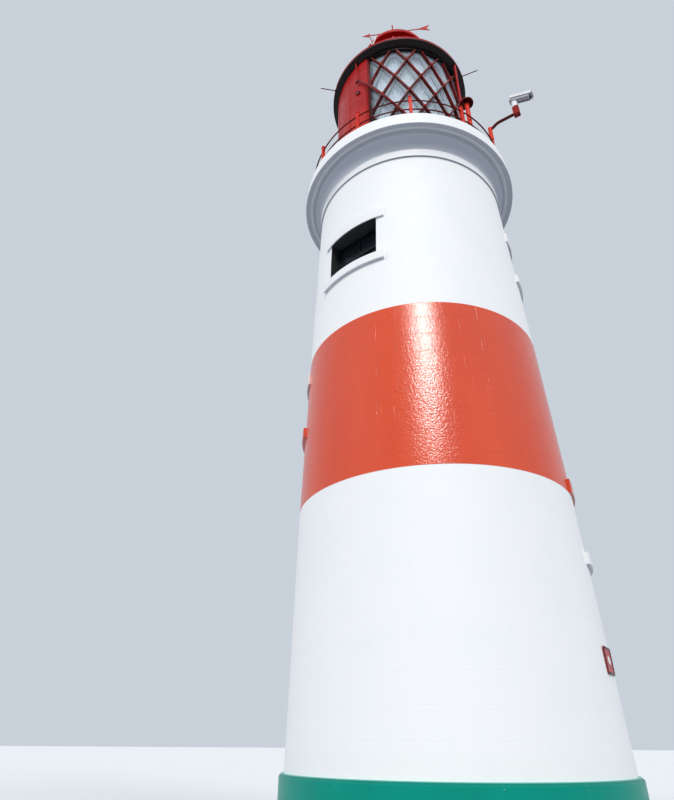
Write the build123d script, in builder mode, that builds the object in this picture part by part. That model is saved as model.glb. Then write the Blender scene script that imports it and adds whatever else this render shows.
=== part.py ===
from build123d import *
from math import acos, asin, cos, degrees, radians, sin, sqrt
import os

# A banded coastal lighthouse tower: tapering masonry shaft, corniced gallery,
# iron railing, and a round lantern with diagonal glazing bars under a dome.
# Millimetres, +Z up. The origin is on the axis at ground level.
# Azimuths are in degrees: 0 faces -Y, 90 faces +X.

# Shaft
bore_radius = 1850.0
plinth_height = 800.0
plinth_radius = 2985.0
plinth_chamfer = 45.0
wall_foot_radius = 2900.0
band_bottom = 5320.0
band_bottom_radius = 2801.0
band_top = 8980.0
band_top_radius = 2672.0
wall_top = 13820.0
wall_top_radius = 2490.0

# Wall segments, one each side of the tower
segment_starts = {"front": -60.0, "right": 30.0, "back": 120.0, "left": 210.0}
segment_arc = 90.0

# Cornice that carries the gallery
string_height = 240.0
string_projection = 32.0
cove_foot_radius = 2465.0
cove_head_radius = 2742.0
cove_head_height = 14500.0
cove_sagitta = 90.0
soffit_lip = 34.0
soffit_step = 60.0
fascia_bottom = 14490.0
fascia_bottom_radius = 2960.0
fascia_top_radius = 2925.0
gallery_level = 14930.0

# Floors
ground_floor_thickness = 150.0
signal_floor_level = 9700.0
signal_floor_thickness = 220.0
lantern_floor_thickness = 200.0

# Signal window, the wide low-light window in the upper shaft
signal_window_azimuth = -32.6
signal_window_width = 1400.0
signal_window_sill = 10650.0
signal_window_height = 1170.0

# Stair windows, which climb round the shaft
stair_window_width = 560.0
stair_window_height = 1150.0
low_window_azimuth = 78.0
low_window_sill = 4200.0
middle_window_azimuth = -80.0
middle_window_sill = 7210.0
high_window_azimuth = 79.0
high_window_sill = 10940.0

# Stone dressings round the windows, curved with the wall
lintel_height = 270.0
lintel_projection = 50.0
sill_height = 210.0
sill_projection = 70.0
dressing_bearing = 200.0
dressing_depth = 260.0
frame_set_back = 330.0
frame_depth = 90.0
frame_bar = 70.0
pane_thickness = 12.0
cut_overrun = 500.0

# Entrance, on the side that faces away from the view
door_azimuth = 247.0
door_width = 1000.0
door_height = 2150.0
door_thickness = 60.0
door_set_back = 360.0
door_frame_bar = 90.0
door_frame_depth = 140.0

# Gallery railing
post_count = 12
post_first_azimuth = 6.3
post_ring_radius = 2750.0
post_width = 75.0
post_height = 940.0
post_foot_width = 150.0
post_foot_height = 30.0
rail_diameter = 40.0
rail_heights = [430.0, 800.0]

# Vent pipe with a mushroom head on the gallery, just inside the railing
vent_azimuth = 44.3
vent_pipe_diameter = 120.0
vent_rail_gap = 10.0
vent_pipe_wall = 8.0
vent_pipe_height = 1500.0
vent_foot_diameter = 200.0
vent_foot_height = 25.0
mushroom_radius = 185.0
mushroom_gap = 70.0
mushroom_rise = 110.0
mushroom_shoulder = 0.7
mushroom_shoulder_rise = 0.6
mushroom_lip = 40.0
mushroom_thickness = 8.0
cross_depth = 80.0

# Lantern
bay_count = 16
glazed_bays = 10
bay_arc = 360.0 / bay_count
glazing_start = -23.8
plate_seam = 0.6
murette_outer_radius = 2070.0
murette_thickness = 90.0
murette_top = 16080.0
curb_projection = 55.0
curb_height = 70.0
curb_inner_radius = 1880.0
lattice_radius = 1985.0
bar_width = 42.0
bar_depth = 90.0
half_row = 757.0
half_rows = 5
lattice_top = 19620.0
lattice_overrun = 130.0
lattice_ring_height = 60.0
casting_gap = 2.0
glass_radius = 1920.0
glass_thickness = 12.0
web_outer_radius = 1903.0
web_depth = 110.0
web_thickness = 16.0
flange_width = 52.0
flange_thickness = 14.0
blank_outer_radius = 2045.0
blank_thickness = 25.0
blank_seam = 6.0

# Fittings on the lantern
fitting_radius = 2110.0
handrail_diameter = 62.0
handrail_start_azimuth = -36.0
handrail_bend_azimuth = -32.5
handrail_end_azimuth = 5.5
handrail_start_level = 18650.0
handrail_end_level = 16120.0
stay_diameter = 36.0
stay_azimuth = -35.4
grab_bar_azimuth = -26.6
grab_bar_top = 17970.0
grab_bar_diameter = 44.0
grab_eye_diameter = 100.0
port_azimuth = -35.0
port_level = 18150.0
port_diameter = 150.0
port_depth = 40.0
downpipe_azimuth = 58.5
downpipe_diameter = 72.0

# Lantern head, dome and ventilator
head_inner_radius = 1900.0
head_outer_radius = 2060.0
head_height = 240.0
rim_radius = 2210.0
rim_depth = 110.0
soffit_rise = 70.0
rim_lip = 25.0
rim_upstand = 20.0
gutter_depth = 40.0
dome_radius = 2080.0
dome_rise = 1500.0
dome_thickness = 40.0
dome_gores = 8
dome_course_rise = 900.0
collar_foot_radius = 1120.0
collar_foot_width = 100.0
collar_foot_height = 40.0
collar_height = 200.0
collar_hollow = 25.0
collar_bead = 30.0
collar_bead_height = 60.0
ventilator_radius = 1060.0
ventilator_wall = 40.0
eave_level = 22250.0
eave_radius = 1170.0
eave_depth = 80.0
cap_rise = 520.0
louvre_count = 5
louvre_pitch = 145.0
louvre_height = 100.0
louvre_projection = 80.0
finial_neck_radius = 70.0
finial_neck_height = 60.0
finial_radius = 170.0

# Rods and a forked aerial on the rim
rim_rod_azimuths = [-66.4, 71.8]
rim_rod_reach = 490.0
rim_rod_diameter = 28.0
rim_rod_drop = 60.0
aerial_azimuth = -17.0
aerial_reach = 190.0
aerial_height = 300.0
aerial_spread = 240.0
aerial_prong_diameter = 40.0

# Vane
vane_level = 24450.0
vane_tip = 1150.0
vane_tail = 1380.0
vane_azimuth = 92.0
vane_bar = 44.0
vane_thickness = 16.0
arrow_head_length = 300.0
arrow_head_width = 260.0
arrow_barb = 50.0
flight_length = 420.0
flight_width = 360.0
flight_notch = 120.0
spindle_diameter = 50.0
spindle_seat_radius = 60.0
spindle_top = 24950.0

# Optic
pedestal_radius = 620.0
pedestal_height = 1350.0
pedestal_thickness = 30.0
optic_radius = 920.0
optic_foot_radius = 660.0
optic_head_radius = 440.0
optic_height = 2600.0
drum_foot = 780.0
drum_height = 780.0
lens_thickness = 45.0
lens_panels = 8
prism_depth = 35.0
prisms_below = 4
prisms_on_drum = 5
prisms_above = 6
lens_bar_width = 46.0
lens_bar_depth = 95.0
lens_bar_gap = 0.3
crown_height = 120.0

# Camera on the gallery
camera_azimuth = post_first_azimuth + 2 * 360 / post_count
camera_post_diameter = 110.0
camera_post_top = 16390.0
camera_arm_reach = 3460.0
camera_arm_rise = 65.0
camera_arm_knee = 240.0
camera_arm_diameter = 85.0
bracket_length = 170.0
bracket_width = 140.0
bracket_height = 340.0
bracket_drop = 95.0
pan_head_radius = 85.0
pan_head_height = 200.0
tilt_yoke_width = 110.0
housing_pitch = 22.0
housing_length = 560.0
housing_width = 185.0
housing_height = 175.0
housing_behind = 130.0
shield_overhang = 60.0
shield_thickness = 10.0
shield_side_gap = 14.0
shield_drop = 95.0

# Notice plate on the shaft
plate_azimuth = 66.0
plate_level = 2395.0
plate_width = 460.0
plate_height = 410.0
plate_thickness = 12.0
plate_corner = 25.0
seat_clearance = 0.3

os.makedirs("parts", exist_ok=True)


def save(part, name):
    part.label = name
    export_step(part, f"parts/{name}.step")


def radial_plane(azimuth, level=0.0):
    """Local x points outwards at the azimuth, local y points up."""
    a = radians(azimuth)
    return Plane(origin=(0, 0, level), x_dir=(sin(a), -cos(a), 0), z_dir=(-cos(a), -sin(a), 0))


def facing_plane(azimuth, radius, level):
    """Faces outwards at the azimuth: local x runs along the wall, local y points up."""
    a = radians(azimuth)
    origin = (radius * sin(a), -radius * cos(a), level)
    return Plane(origin=origin, x_dir=(cos(a), sin(a), 0), z_dir=(sin(a), -cos(a), 0))


def flat_plane(azimuth, radius, level):
    """Lies flat at the level, with its origin out along the azimuth and local x pointing outwards."""
    a = radians(azimuth)
    origin = (radius * sin(a), -radius * cos(a), level)
    return Plane(origin=origin, x_dir=(sin(a), -cos(a), 0), z_dir=(0, 0, 1))


def point_at(azimuth, radius, level):
    a = radians(azimuth)
    return Vector(radius * sin(a), -radius * cos(a), level)


def between(value, low, high, at_low, at_high):
    return at_low + (at_high - at_low) * (value - low) / (high - low)


def wall_radius(level):
    """Outer radius of the shaft at a level."""
    if level < band_bottom:
        return between(level, plinth_height, band_bottom, wall_foot_radius, band_bottom_radius)
    if level < band_top:
        return between(level, band_bottom, band_top, band_bottom_radius, band_top_radius)
    return between(level, band_top, wall_top, band_top_radius, wall_top_radius)


# Azimuth, width, sill level and height of each opening
windows = [
    (signal_window_azimuth, signal_window_width, signal_window_sill, signal_window_height),
    (low_window_azimuth, stair_window_width, low_window_sill, stair_window_height),
    (middle_window_azimuth, stair_window_width, middle_window_sill, stair_window_height),
    (high_window_azimuth, stair_window_width, high_window_sill, stair_window_height),
]


def cut_windows(low, high):
    """Cut the window openings between two levels through the wall in hand."""
    for azimuth, width, sill, height in windows:
        if sill + height > low and sill < high:
            with BuildSketch(facing_plane(azimuth, 0, sill + height / 2)) as opening:
                Rectangle(width, height)
            extrude(opening.sketch, amount=plinth_radius + cut_overrun, mode=Mode.SUBTRACT)


def dressing_arc(width, level):
    """Arc of a curved stone that bears on the wall at both sides of an opening."""
    return degrees((width + 2 * dressing_bearing) / wall_radius(level))


def dressing_profile(azimuth, width, level, tall, projection):
    """Radial section of a curved lintel or sill, at its first end, with the arc it turns through."""
    arc = dressing_arc(width, level)
    face = wall_radius(level + tall / 2)
    with BuildSketch(radial_plane(azimuth - arc / 2, level)) as section:
        with Locations((face + (projection - dressing_depth) / 2, tall / 2)):
            Rectangle(dressing_depth + projection, tall)
    return section.sketch, arc


def cut_dressings(low, high):
    """Cut the beds of the lintels and sills into the wall in hand."""
    for azimuth, width, sill, height in windows:
        for level, tall in ((sill + height, lintel_height), (sill - sill_height, sill_height)):
            if level + tall > low and level < high:
                section, arc = dressing_profile(azimuth, width, level, tall, cut_overrun)
                revolve(section, axis=Axis.Z, revolution_arc=arc, mode=Mode.SUBTRACT)


def cut_doorway():
    """Cut the entrance through the wall in hand."""
    with BuildSketch(facing_plane(door_azimuth, 0, door_height / 2)) as doorway:
        Rectangle(door_width, door_height)
    extrude(doorway.sketch, amount=plinth_radius + cut_overrun, mode=Mode.SUBTRACT)


# Plinth
with BuildPart() as plinth:
    with BuildSketch(radial_plane(0)):
        with BuildLine():
            Polyline(
                (bore_radius, 0),
                (plinth_radius, 0),
                (plinth_radius, plinth_height - plinth_chamfer),
                (plinth_radius - plinth_chamfer, plinth_height),
                (bore_radius, plinth_height),
                close=True,
            )
        make_face()
    revolve(axis=Axis.Z)
    cut_doorway()
save(plinth.part, "plinth")

# Shaft walls, four segments to each storey
storeys = [
    ("lower_wall", plinth_height, wall_foot_radius, band_bottom, band_bottom_radius),
    ("band_wall", band_bottom, band_bottom_radius, band_top, band_top_radius),
    ("upper_wall", band_top, band_top_radius, wall_top, wall_top_radius),
]
for storey, low, low_radius, high, high_radius in storeys:
    for side, start in segment_starts.items():
        with BuildPart() as wall:
            with BuildSketch(radial_plane(start)):
                with BuildLine():
                    Polyline(
                        (bore_radius, low),
                        (low_radius, low),
                        (high_radius, high),
                        (bore_radius, high),
                        close=True,
                    )
                make_face()
            revolve(axis=Axis.Z, revolution_arc=segment_arc)
            cut_windows(low, high)
            cut_dressings(low, high)
            if storey == "lower_wall" and side == "left":
                cut_doorway()
        save(wall.part, f"{storey}_{side}")

# Cornice in four segments: string course, cove, soffit mouldings and fascia
string_top = wall_top + string_height
string_radius = wall_top_radius + string_projection
for side, start in segment_starts.items():
    with BuildPart() as cornice:
        with BuildSketch(radial_plane(start)):
            with BuildLine():
                Polyline((bore_radius, wall_top), (string_radius, wall_top), (string_radius, string_top),
                         (cove_foot_radius, string_top))
                SagittaArc((cove_foot_radius, string_top), (cove_head_radius, cove_head_height), cove_sagitta)
                Polyline(
                    (cove_head_radius, cove_head_height),
                    (cove_head_radius, cove_head_height + soffit_lip),
                    (cove_head_radius + soffit_step, cove_head_height + soffit_lip),
                    (cove_head_radius + 2 * soffit_step, fascia_bottom),
                    (fascia_bottom_radius, fascia_bottom),
                    (fascia_top_radius, gallery_level),
                    (bore_radius, gallery_level),
                    (bore_radius, wall_top),
                )
            make_face()
        revolve(axis=Axis.Z, revolution_arc=segment_arc)
    save(cornice.part, f"cornice_{side}")

# Floors
with BuildPart() as ground_floor:
    Cylinder(bore_radius, ground_floor_thickness, align=(Align.CENTER, Align.CENTER, Align.MIN))
save(ground_floor.part, "ground_floor")

with BuildPart() as signal_floor:
    with BuildSketch(Plane.XY.offset(signal_floor_level - signal_floor_thickness)):
        Circle(bore_radius)
    extrude(amount=signal_floor_thickness)
save(signal_floor.part, "signal_room_floor")

with BuildPart() as lantern_floor:
    with BuildSketch(Plane.XY.offset(gallery_level - lantern_floor_thickness)):
        Circle(bore_radius)
    extrude(amount=lantern_floor_thickness)
save(lantern_floor.part, "lantern_floor")

# Window dressings, frames and panes
with BuildPart() as lintels:
    for azimuth, width, sill, height in windows:
        section, arc = dressing_profile(azimuth, width, sill + height, lintel_height, lintel_projection)
        revolve(section, axis=Axis.Z, revolution_arc=arc)
save(lintels.part, "window_lintels")

with BuildPart() as sills:
    for azimuth, width, sill, height in windows:
        section, arc = dressing_profile(azimuth, width, sill - sill_height, sill_height, sill_projection)
        revolve(section, axis=Axis.Z, revolution_arc=arc)
save(sills.part, "window_sills")

with BuildPart() as frames:
    for azimuth, width, sill, height in windows:
        middle = sill + height / 2
        back = wall_radius(middle) - frame_set_back - frame_depth
        with BuildSketch(facing_plane(azimuth, back, middle)):
            Rectangle(width, height)
            Rectangle(width - 2 * frame_bar, height - 2 * frame_bar, mode=Mode.SUBTRACT)
        extrude(amount=frame_depth)
save(frames.part, "window_frames")

with BuildPart() as panes:
    for azimuth, width, sill, height in windows:
        middle = sill + height / 2
        back = wall_radius(middle) - frame_set_back - frame_depth / 2
        with BuildSketch(facing_plane(azimuth, back, middle)):
            Rectangle(width - 2 * frame_bar, height - 2 * frame_bar)
        extrude(amount=pane_thickness)
save(panes.part, "window_panes")

# Entrance
door_face = wall_foot_radius - door_set_back
with BuildPart() as door_frame:
    with BuildSketch(facing_plane(door_azimuth, door_face - door_frame_depth, door_height / 2)):
        Rectangle(door_width, door_height)
        with Locations((0, -door_frame_bar / 2)):
            Rectangle(door_width - 2 * door_frame_bar, door_height - door_frame_bar, mode=Mode.SUBTRACT)
    extrude(amount=door_frame_depth)
save(door_frame.part, "door_frame")

with BuildPart() as door:
    leaf_height = door_height - door_frame_bar
    with BuildSketch(facing_plane(door_azimuth, door_face - door_frame_depth / 2, leaf_height / 2)):
        Rectangle(door_width - 2 * door_frame_bar, leaf_height)
    extrude(amount=door_thickness)
save(door.part, "door")

# Gallery railing, one panel a side: posts, feet and two round rails
posts_a_side = post_count // 4
post_step = 360 / post_count
for number, side in enumerate(("front", "right", "back", "left")):
    first = post_first_azimuth + post_step * (posts_a_side * number - 1)
    panel_start = first - post_step / 2
    post_azimuths = [first + post_step * i for i in range(posts_a_side)]
    with BuildPart() as railing:
        for azimuth in post_azimuths:
            with BuildSketch(flat_plane(azimuth, post_ring_radius, gallery_level)):
                Rectangle(post_foot_width, post_foot_width)
            extrude(amount=post_foot_height)
            with BuildSketch(flat_plane(azimuth, post_ring_radius, gallery_level)):
                Rectangle(post_width, post_width)
            extrude(amount=post_height)
        for height in rail_heights:
            with BuildSketch(radial_plane(panel_start, gallery_level + height)):
                with Locations((post_ring_radius, 0)):
                    RegularPolygon(rail_diameter / 2, 6)
            revolve(axis=Axis.Z, revolution_arc=post_step * posts_a_side)
    save(railing.part, f"gallery_railing_{side}")

# Vent pipe on the gallery: a flanged pipe, and a mushroom head on two crossed plates
with BuildPart() as gallery_vent:
    vent_radius = post_ring_radius - rail_diameter / 2 - vent_rail_gap - vent_pipe_diameter / 2
    pipe_top = vent_foot_height + vent_pipe_height
    vent_bore = vent_pipe_diameter / 2 - vent_pipe_wall
    with BuildSketch(flat_plane(vent_azimuth, vent_radius, gallery_level)):
        Circle(vent_foot_diameter / 2)
        Circle(vent_bore, mode=Mode.SUBTRACT)
    extrude(amount=vent_foot_height)
    with BuildSketch(flat_plane(vent_azimuth, vent_radius, gallery_level)):
        Circle(vent_pipe_diameter / 2)
        Circle(vent_bore, mode=Mode.SUBTRACT)
    extrude(amount=pipe_top)
    vent_axis = Axis(point_at(vent_azimuth, vent_radius, gallery_level), (0, 0, 1))
    with BuildSketch(radial_plane(vent_azimuth, gallery_level + pipe_top)):
        with BuildLine():
            lip_foot = mushroom_gap - mushroom_lip
            lip_bore = mushroom_radius - mushroom_thickness
            head_crown = mushroom_gap + mushroom_rise
            shoulder_level = mushroom_gap + mushroom_rise * mushroom_shoulder_rise
            Polyline((vent_radius, head_crown - mushroom_thickness), (vent_radius, head_crown))
            ThreePointArc((vent_radius, head_crown),
                          (vent_radius + mushroom_radius * mushroom_shoulder, shoulder_level),
                          (vent_radius + mushroom_radius, mushroom_gap))
            Polyline((vent_radius + mushroom_radius, mushroom_gap), (vent_radius + mushroom_radius, lip_foot),
                     (vent_radius + lip_bore, lip_foot), (vent_radius + lip_bore, mushroom_gap))
            ThreePointArc((vent_radius + lip_bore, mushroom_gap),
                          (vent_radius + lip_bore * mushroom_shoulder, shoulder_level - mushroom_thickness),
                          (vent_radius, head_crown - mushroom_thickness))
        make_face()
    revolve(axis=vent_axis)
    with BuildSketch(flat_plane(vent_azimuth, vent_radius, gallery_level + pipe_top - cross_depth)):
        Rectangle(vent_pipe_diameter - vent_pipe_wall, vent_pipe_wall)
        Rectangle(vent_pipe_wall, vent_pipe_diameter - vent_pipe_wall)
    extrude(amount=cross_depth + head_crown - mushroom_thickness)
save(gallery_vent.part, "gallery_vent")

# Lantern base wall with its curb: one plate to each bay
glazed_arc = glazed_bays * bay_arc
murette_inner_radius = murette_outer_radius - murette_thickness
seam_arc = degrees(plate_seam / murette_outer_radius)
with BuildPart() as murette_plate:
    with BuildSketch(radial_plane(glazing_start)):
        with BuildLine():
            Polyline(
                (murette_inner_radius, gallery_level),
                (murette_outer_radius, gallery_level),
                (murette_outer_radius, murette_top - curb_height),
                (murette_outer_radius + curb_projection, murette_top - curb_height),
                (murette_outer_radius + curb_projection, murette_top),
                (curb_inner_radius, murette_top),
                (curb_inner_radius, murette_top - curb_height),
                (murette_inner_radius, murette_top - curb_height),
                close=True,
            )
        make_face()
    revolve(axis=Axis.Z, revolution_arc=bay_arc - seam_arc)
with BuildPart() as murette:
    with PolarLocations(0, bay_count):
        add(murette_plate.part)
save(murette.part, "lantern_base")

# Diagonal glazing bars. Struts run from crossing to crossing, on a grid of half bays and half rows.
lattice_foot = murette_top + lattice_ring_height / 2
lattice_head = lattice_top - lattice_ring_height / 2
lattice_crown = lattice_top + lattice_overrun


def strut_planes(radius):
    """Planes of the struts of one bay by their length, clipped at the head and foot rings."""
    planes = {}
    for row in range(half_rows):
        top = lattice_crown - row * half_row
        high = min(top, lattice_head)
        low = max(top - half_row, lattice_foot)
        for side in (0, bay_arc):
            starts_at_edge = row % 2 == 0
            start, end = (side, bay_arc / 2) if starts_at_edge else (bay_arc / 2, side)
            a = point_at(glazing_start + start + (end - start) * (top - high) / half_row, radius, high)
            b = point_at(glazing_start + start + (end - start) * (top - low) / half_row, radius, low)
            outwards = point_at(glazing_start + (start + end) / 2, 1, 0)
            plane = Plane(origin=(a + b) / 2, x_dir=outwards, z_dir=b - a)
            planes.setdefault(round((b - a).length), []).append(plane)
    return planes


def trim_to_bay(radius, gap):
    """Trim the bay in hand at the head and foot, and at its two sides."""
    reach = radius + cut_overrun
    gap_arc = degrees(gap / 2 / radius)
    tall = lattice_top - murette_top
    with BuildSketch(radial_plane(glazing_start + gap_arc, murette_top)) as kept:
        with Locations((reach / 2, tall / 2)):
            Rectangle(reach, tall)
    revolve(kept.sketch, axis=Axis.Z, revolution_arc=bay_arc - 2 * gap_arc, mode=Mode.INTERSECT)


def lattice_rings(radius, depth):
    """Head and foot rings of one bay."""
    for low in (murette_top, lattice_top - lattice_ring_height):
        with BuildSketch(radial_plane(glazing_start, low)) as ring:
            with Locations((radius, lattice_ring_height / 2)):
                Rectangle(depth, lattice_ring_height)
        revolve(ring.sketch, axis=Axis.Z, revolution_arc=bay_arc)


with BuildPart() as lattice_bay:
    lattice_rings(lattice_radius, bar_depth)
    for length, planes in strut_planes(lattice_radius).items():
        with Locations(*planes):
            Box(bar_depth, bar_width, length + bar_width)
    trim_to_bay(lattice_radius, casting_gap)
with BuildPart() as lattice:
    with PolarLocations(0, glazed_bays, angular_range=glazed_arc, endpoint=False):
        add(lattice_bay.part)
save(lattice.part, "lantern_lattice")

# Inside the glass each bar goes on as a thin web with a flange along its edge
with BuildPart() as inner_bay:
    web_radius = web_outer_radius - web_depth / 2
    lattice_rings(web_radius, web_depth)
    for length, planes in strut_planes(web_radius).items():
        with Locations(*planes):
            Box(web_depth, web_thickness, length + flange_width)
    flange_radius = web_outer_radius - web_depth
    for length, planes in strut_planes(flange_radius).items():
        with Locations(*planes):
            Box(flange_thickness, flange_width, length + flange_width)
    trim_to_bay(web_radius, casting_gap)
with BuildPart() as inner_bars:
    with PolarLocations(0, glazed_bays, angular_range=glazed_arc, endpoint=False):
        add(inner_bay.part)
save(inner_bars.part, "lantern_inner_bars")

# Upright bars at the two ends of the glazing
mullion_arc = degrees(bar_width / lattice_radius)
with BuildPart() as mullions:
    for azimuth in (glazing_start - mullion_arc, glazing_start + glazed_arc):
        with BuildSketch(radial_plane(azimuth, murette_top)):
            with Locations((lattice_radius, (lattice_top - murette_top) / 2)):
                Rectangle(bar_depth, lattice_top - murette_top)
        revolve(axis=Axis.Z, revolution_arc=mullion_arc)
save(mullions.part, "lantern_mullions")

with BuildPart() as glass_bay:
    with BuildSketch(radial_plane(glazing_start, murette_top)):
        with Locations((glass_radius, (lattice_top - murette_top) / 2)):
            Rectangle(glass_thickness, lattice_top - murette_top)
    revolve(axis=Axis.Z, revolution_arc=bay_arc - seam_arc)
with BuildPart() as glazing:
    with PolarLocations(0, glazed_bays, angular_range=glazed_arc, endpoint=False):
        add(glass_bay.part)
save(glazing.part, "lantern_glazing")

with BuildPart() as blanks:
    blank_seam_arc = degrees(blank_seam / 2 / blank_outer_radius)
    end_arc = mullion_arc + blank_seam_arc
    for bay in range(glazed_bays, bay_count):
        start = glazing_start + bay * bay_arc + (end_arc if bay == glazed_bays else blank_seam_arc)
        end = glazing_start + (bay + 1) * bay_arc - (end_arc if bay == bay_count - 1 else blank_seam_arc)
        with BuildSketch(radial_plane(start, murette_top)):
            with Locations((blank_outer_radius - blank_thickness / 2, (lattice_top - murette_top) / 2)):
                Rectangle(blank_thickness, lattice_top - murette_top)
        revolve(axis=Axis.Z, revolution_arc=end - start)
save(blanks.part, "lantern_blank_panels")

# Port in the blank panels: a short tube with a rim
with BuildPart() as port:
    with BuildSketch(facing_plane(port_azimuth, blank_outer_radius + seat_clearance, port_level)):
        Circle(port_diameter / 2)
        Circle(port_diameter * 0.32, mode=Mode.SUBTRACT)
    extrude(amount=port_depth)
save(port.part, "lantern_port")

# Handrail that follows a glazing bar down from the blank panels, and the stay above it
with BuildPart() as handrail:
    first = point_at(handrail_start_azimuth, fitting_radius, handrail_start_level)
    drop = handrail_start_level - handrail_end_level
    sweep_arc = handrail_end_azimuth - handrail_bend_azimuth
    run_points = [first] + [
        point_at(handrail_bend_azimuth + sweep_arc * step / 5, fitting_radius,
                 handrail_start_level - drop * step / 5)
        for step in range(6)]
    with BuildLine():
        path = FilletPolyline(*run_points, radius=[110, 900, 900, 900, 900])
    with BuildSketch(Plane(origin=path @ 0, z_dir=path % 0)):
        Circle(handrail_diameter / 2)
    sweep()
save(handrail.part, "lantern_handrail")

# Rim of the lantern head
head_top = lattice_top + head_height
soffit_outer_level = head_top - rim_depth
head_soffit_level = lattice_top + soffit_rise


def soffit_level(radius):
    """Height of the head's sloping soffit at a radius."""
    return between(radius, head_outer_radius, rim_radius - rim_lip, head_soffit_level, soffit_outer_level)


with BuildPart() as stays:
    stay_foot = handrail_start_level + (handrail_diameter / 2 + seat_clearance)
    with BuildSketch(flat_plane(stay_azimuth, fitting_radius, stay_foot)):
        Circle(stay_diameter / 2)
    extrude(amount=soffit_level(fitting_radius - stay_diameter / 2) - seat_clearance - stay_foot)
save(stays.part, "lantern_stay")

# Grab bar beside the glazing, with an eye at its top
with BuildPart() as grab_bar:
    with BuildSketch(flat_plane(grab_bar_azimuth, fitting_radius, murette_top)):
        Circle(grab_bar_diameter / 2)
    extrude(amount=grab_bar_top - murette_top)
    with BuildSketch(facing_plane(grab_bar_azimuth, fitting_radius - grab_bar_diameter / 4,
                                  grab_bar_top + grab_eye_diameter * 0.4)):
        Circle(grab_eye_diameter / 2)
        Circle(grab_eye_diameter * 0.3, mode=Mode.SUBTRACT)
    extrude(amount=grab_bar_diameter / 2)
save(grab_bar.part, "lantern_grab_bar")

# Downpipe from the gutter to the gallery
with BuildPart() as downpipe:
    pipe_radius = murette_outer_radius + curb_projection + downpipe_diameter / 2 + seat_clearance
    with BuildSketch(flat_plane(downpipe_azimuth, pipe_radius, gallery_level)):
        Circle(downpipe_diameter / 2)
    extrude(amount=soffit_level(pipe_radius - downpipe_diameter / 2) - seat_clearance - gallery_level)
save(downpipe.part, "lantern_downpipe")

# Lantern head: ring beam, sloping soffit and gutter
with BuildPart() as head:
    with BuildSketch(radial_plane(0)):
        with BuildLine():
            Polyline(
                (head_inner_radius, lattice_top),
                (head_outer_radius, lattice_top),
                (head_outer_radius, head_soffit_level),
                (rim_radius - rim_lip, soffit_outer_level),
                (rim_radius, soffit_outer_level),
                (rim_radius, head_top + rim_upstand),
                (rim_radius - rim_lip, head_top + rim_upstand),
                (rim_radius - rim_lip, head_top - gutter_depth),
                (dome_radius, head_top - gutter_depth),
                (dome_radius, head_top),
                (head_inner_radius, head_top),
                close=True,
            )
        make_face()
    revolve(axis=Axis.Z)
save(head.part, "lantern_head")

# Dome in plates: two courses of gores, flat on top where the ventilator's collar sits
dome_crown_rise = dome_rise * sqrt(1 - (collar_foot_radius / dome_radius) ** 2)
inner_rise = dome_rise - dome_thickness
with BuildPart() as gore:
    with BuildSketch(radial_plane(0)):
        with BuildLine():
            outer = EllipticalCenterArc((0, head_top), dome_radius, dome_rise, 0,
                                        arc_size=degrees(asin(dome_crown_rise / dome_rise)))
            inner = EllipticalCenterArc((0, head_top), dome_radius - dome_thickness, inner_rise, 0,
                                        arc_size=degrees(asin(dome_crown_rise / inner_rise)))
            Line(outer @ 1, inner @ 1)
            Line(inner @ 0, outer @ 0)
        make_face()
    revolve(axis=Axis.Z, revolution_arc=360 / dome_gores - seam_arc)
    with BuildSketch(Plane.XY.offset(head_top + dome_course_rise)):
        Circle(dome_radius)
    extrude(amount=seat_clearance, mode=Mode.SUBTRACT)
with BuildPart() as dome:
    with PolarLocations(0, dome_gores):
        add(gore.part)
save(dome.part, "dome")

# Ventilator: a moulded collar, a louvred drum with a domed cap, and a ball finial
collar_seat = head_top + dome_crown_rise
drum_bore = ventilator_radius - ventilator_wall
with BuildPart() as collar:
    with BuildSketch(radial_plane(0)):
        with BuildLine():
            cove_foot = (collar_foot_radius, collar_seat + collar_foot_height)
            cove_head = (ventilator_radius, collar_seat + collar_height - collar_bead_height)
            Polyline((collar_foot_radius - collar_foot_width, collar_seat), (collar_foot_radius, collar_seat),
                     cove_foot)
            SagittaArc(cove_foot, cove_head, collar_hollow)
            Polyline(
                cove_head,
                (ventilator_radius + collar_bead, collar_seat + collar_height - collar_bead_height),
                (ventilator_radius + collar_bead, collar_seat + collar_height),
                (drum_bore, collar_seat + collar_height),
                (collar_foot_radius - collar_foot_width, collar_seat),
            )
        make_face()
    revolve(axis=Axis.Z)
save(collar.part, "ventilator_collar")

drum_foot_level = collar_seat + collar_height
cap_spring = eave_level + eave_depth
finial_foot = cap_spring + cap_rise * sqrt(1 - (finial_neck_radius / eave_radius) ** 2)
finial_neck_top = finial_foot + finial_neck_height
finial_centre = finial_neck_top + sqrt(finial_radius ** 2 - finial_neck_radius ** 2)
finial_seat = finial_centre + sqrt(finial_radius ** 2 - spindle_seat_radius ** 2)


def louvre_edge():
    """Outer edge of the ventilator's drum: wedge louvres, each sloping down and outwards."""
    points = []
    for i in range(louvre_count, 0, -1):
        level = eave_level - louvre_pitch * i
        points += [(ventilator_radius, level), (ventilator_radius + louvre_projection, level),
                   (ventilator_radius, level + louvre_height)]
    return points


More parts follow.
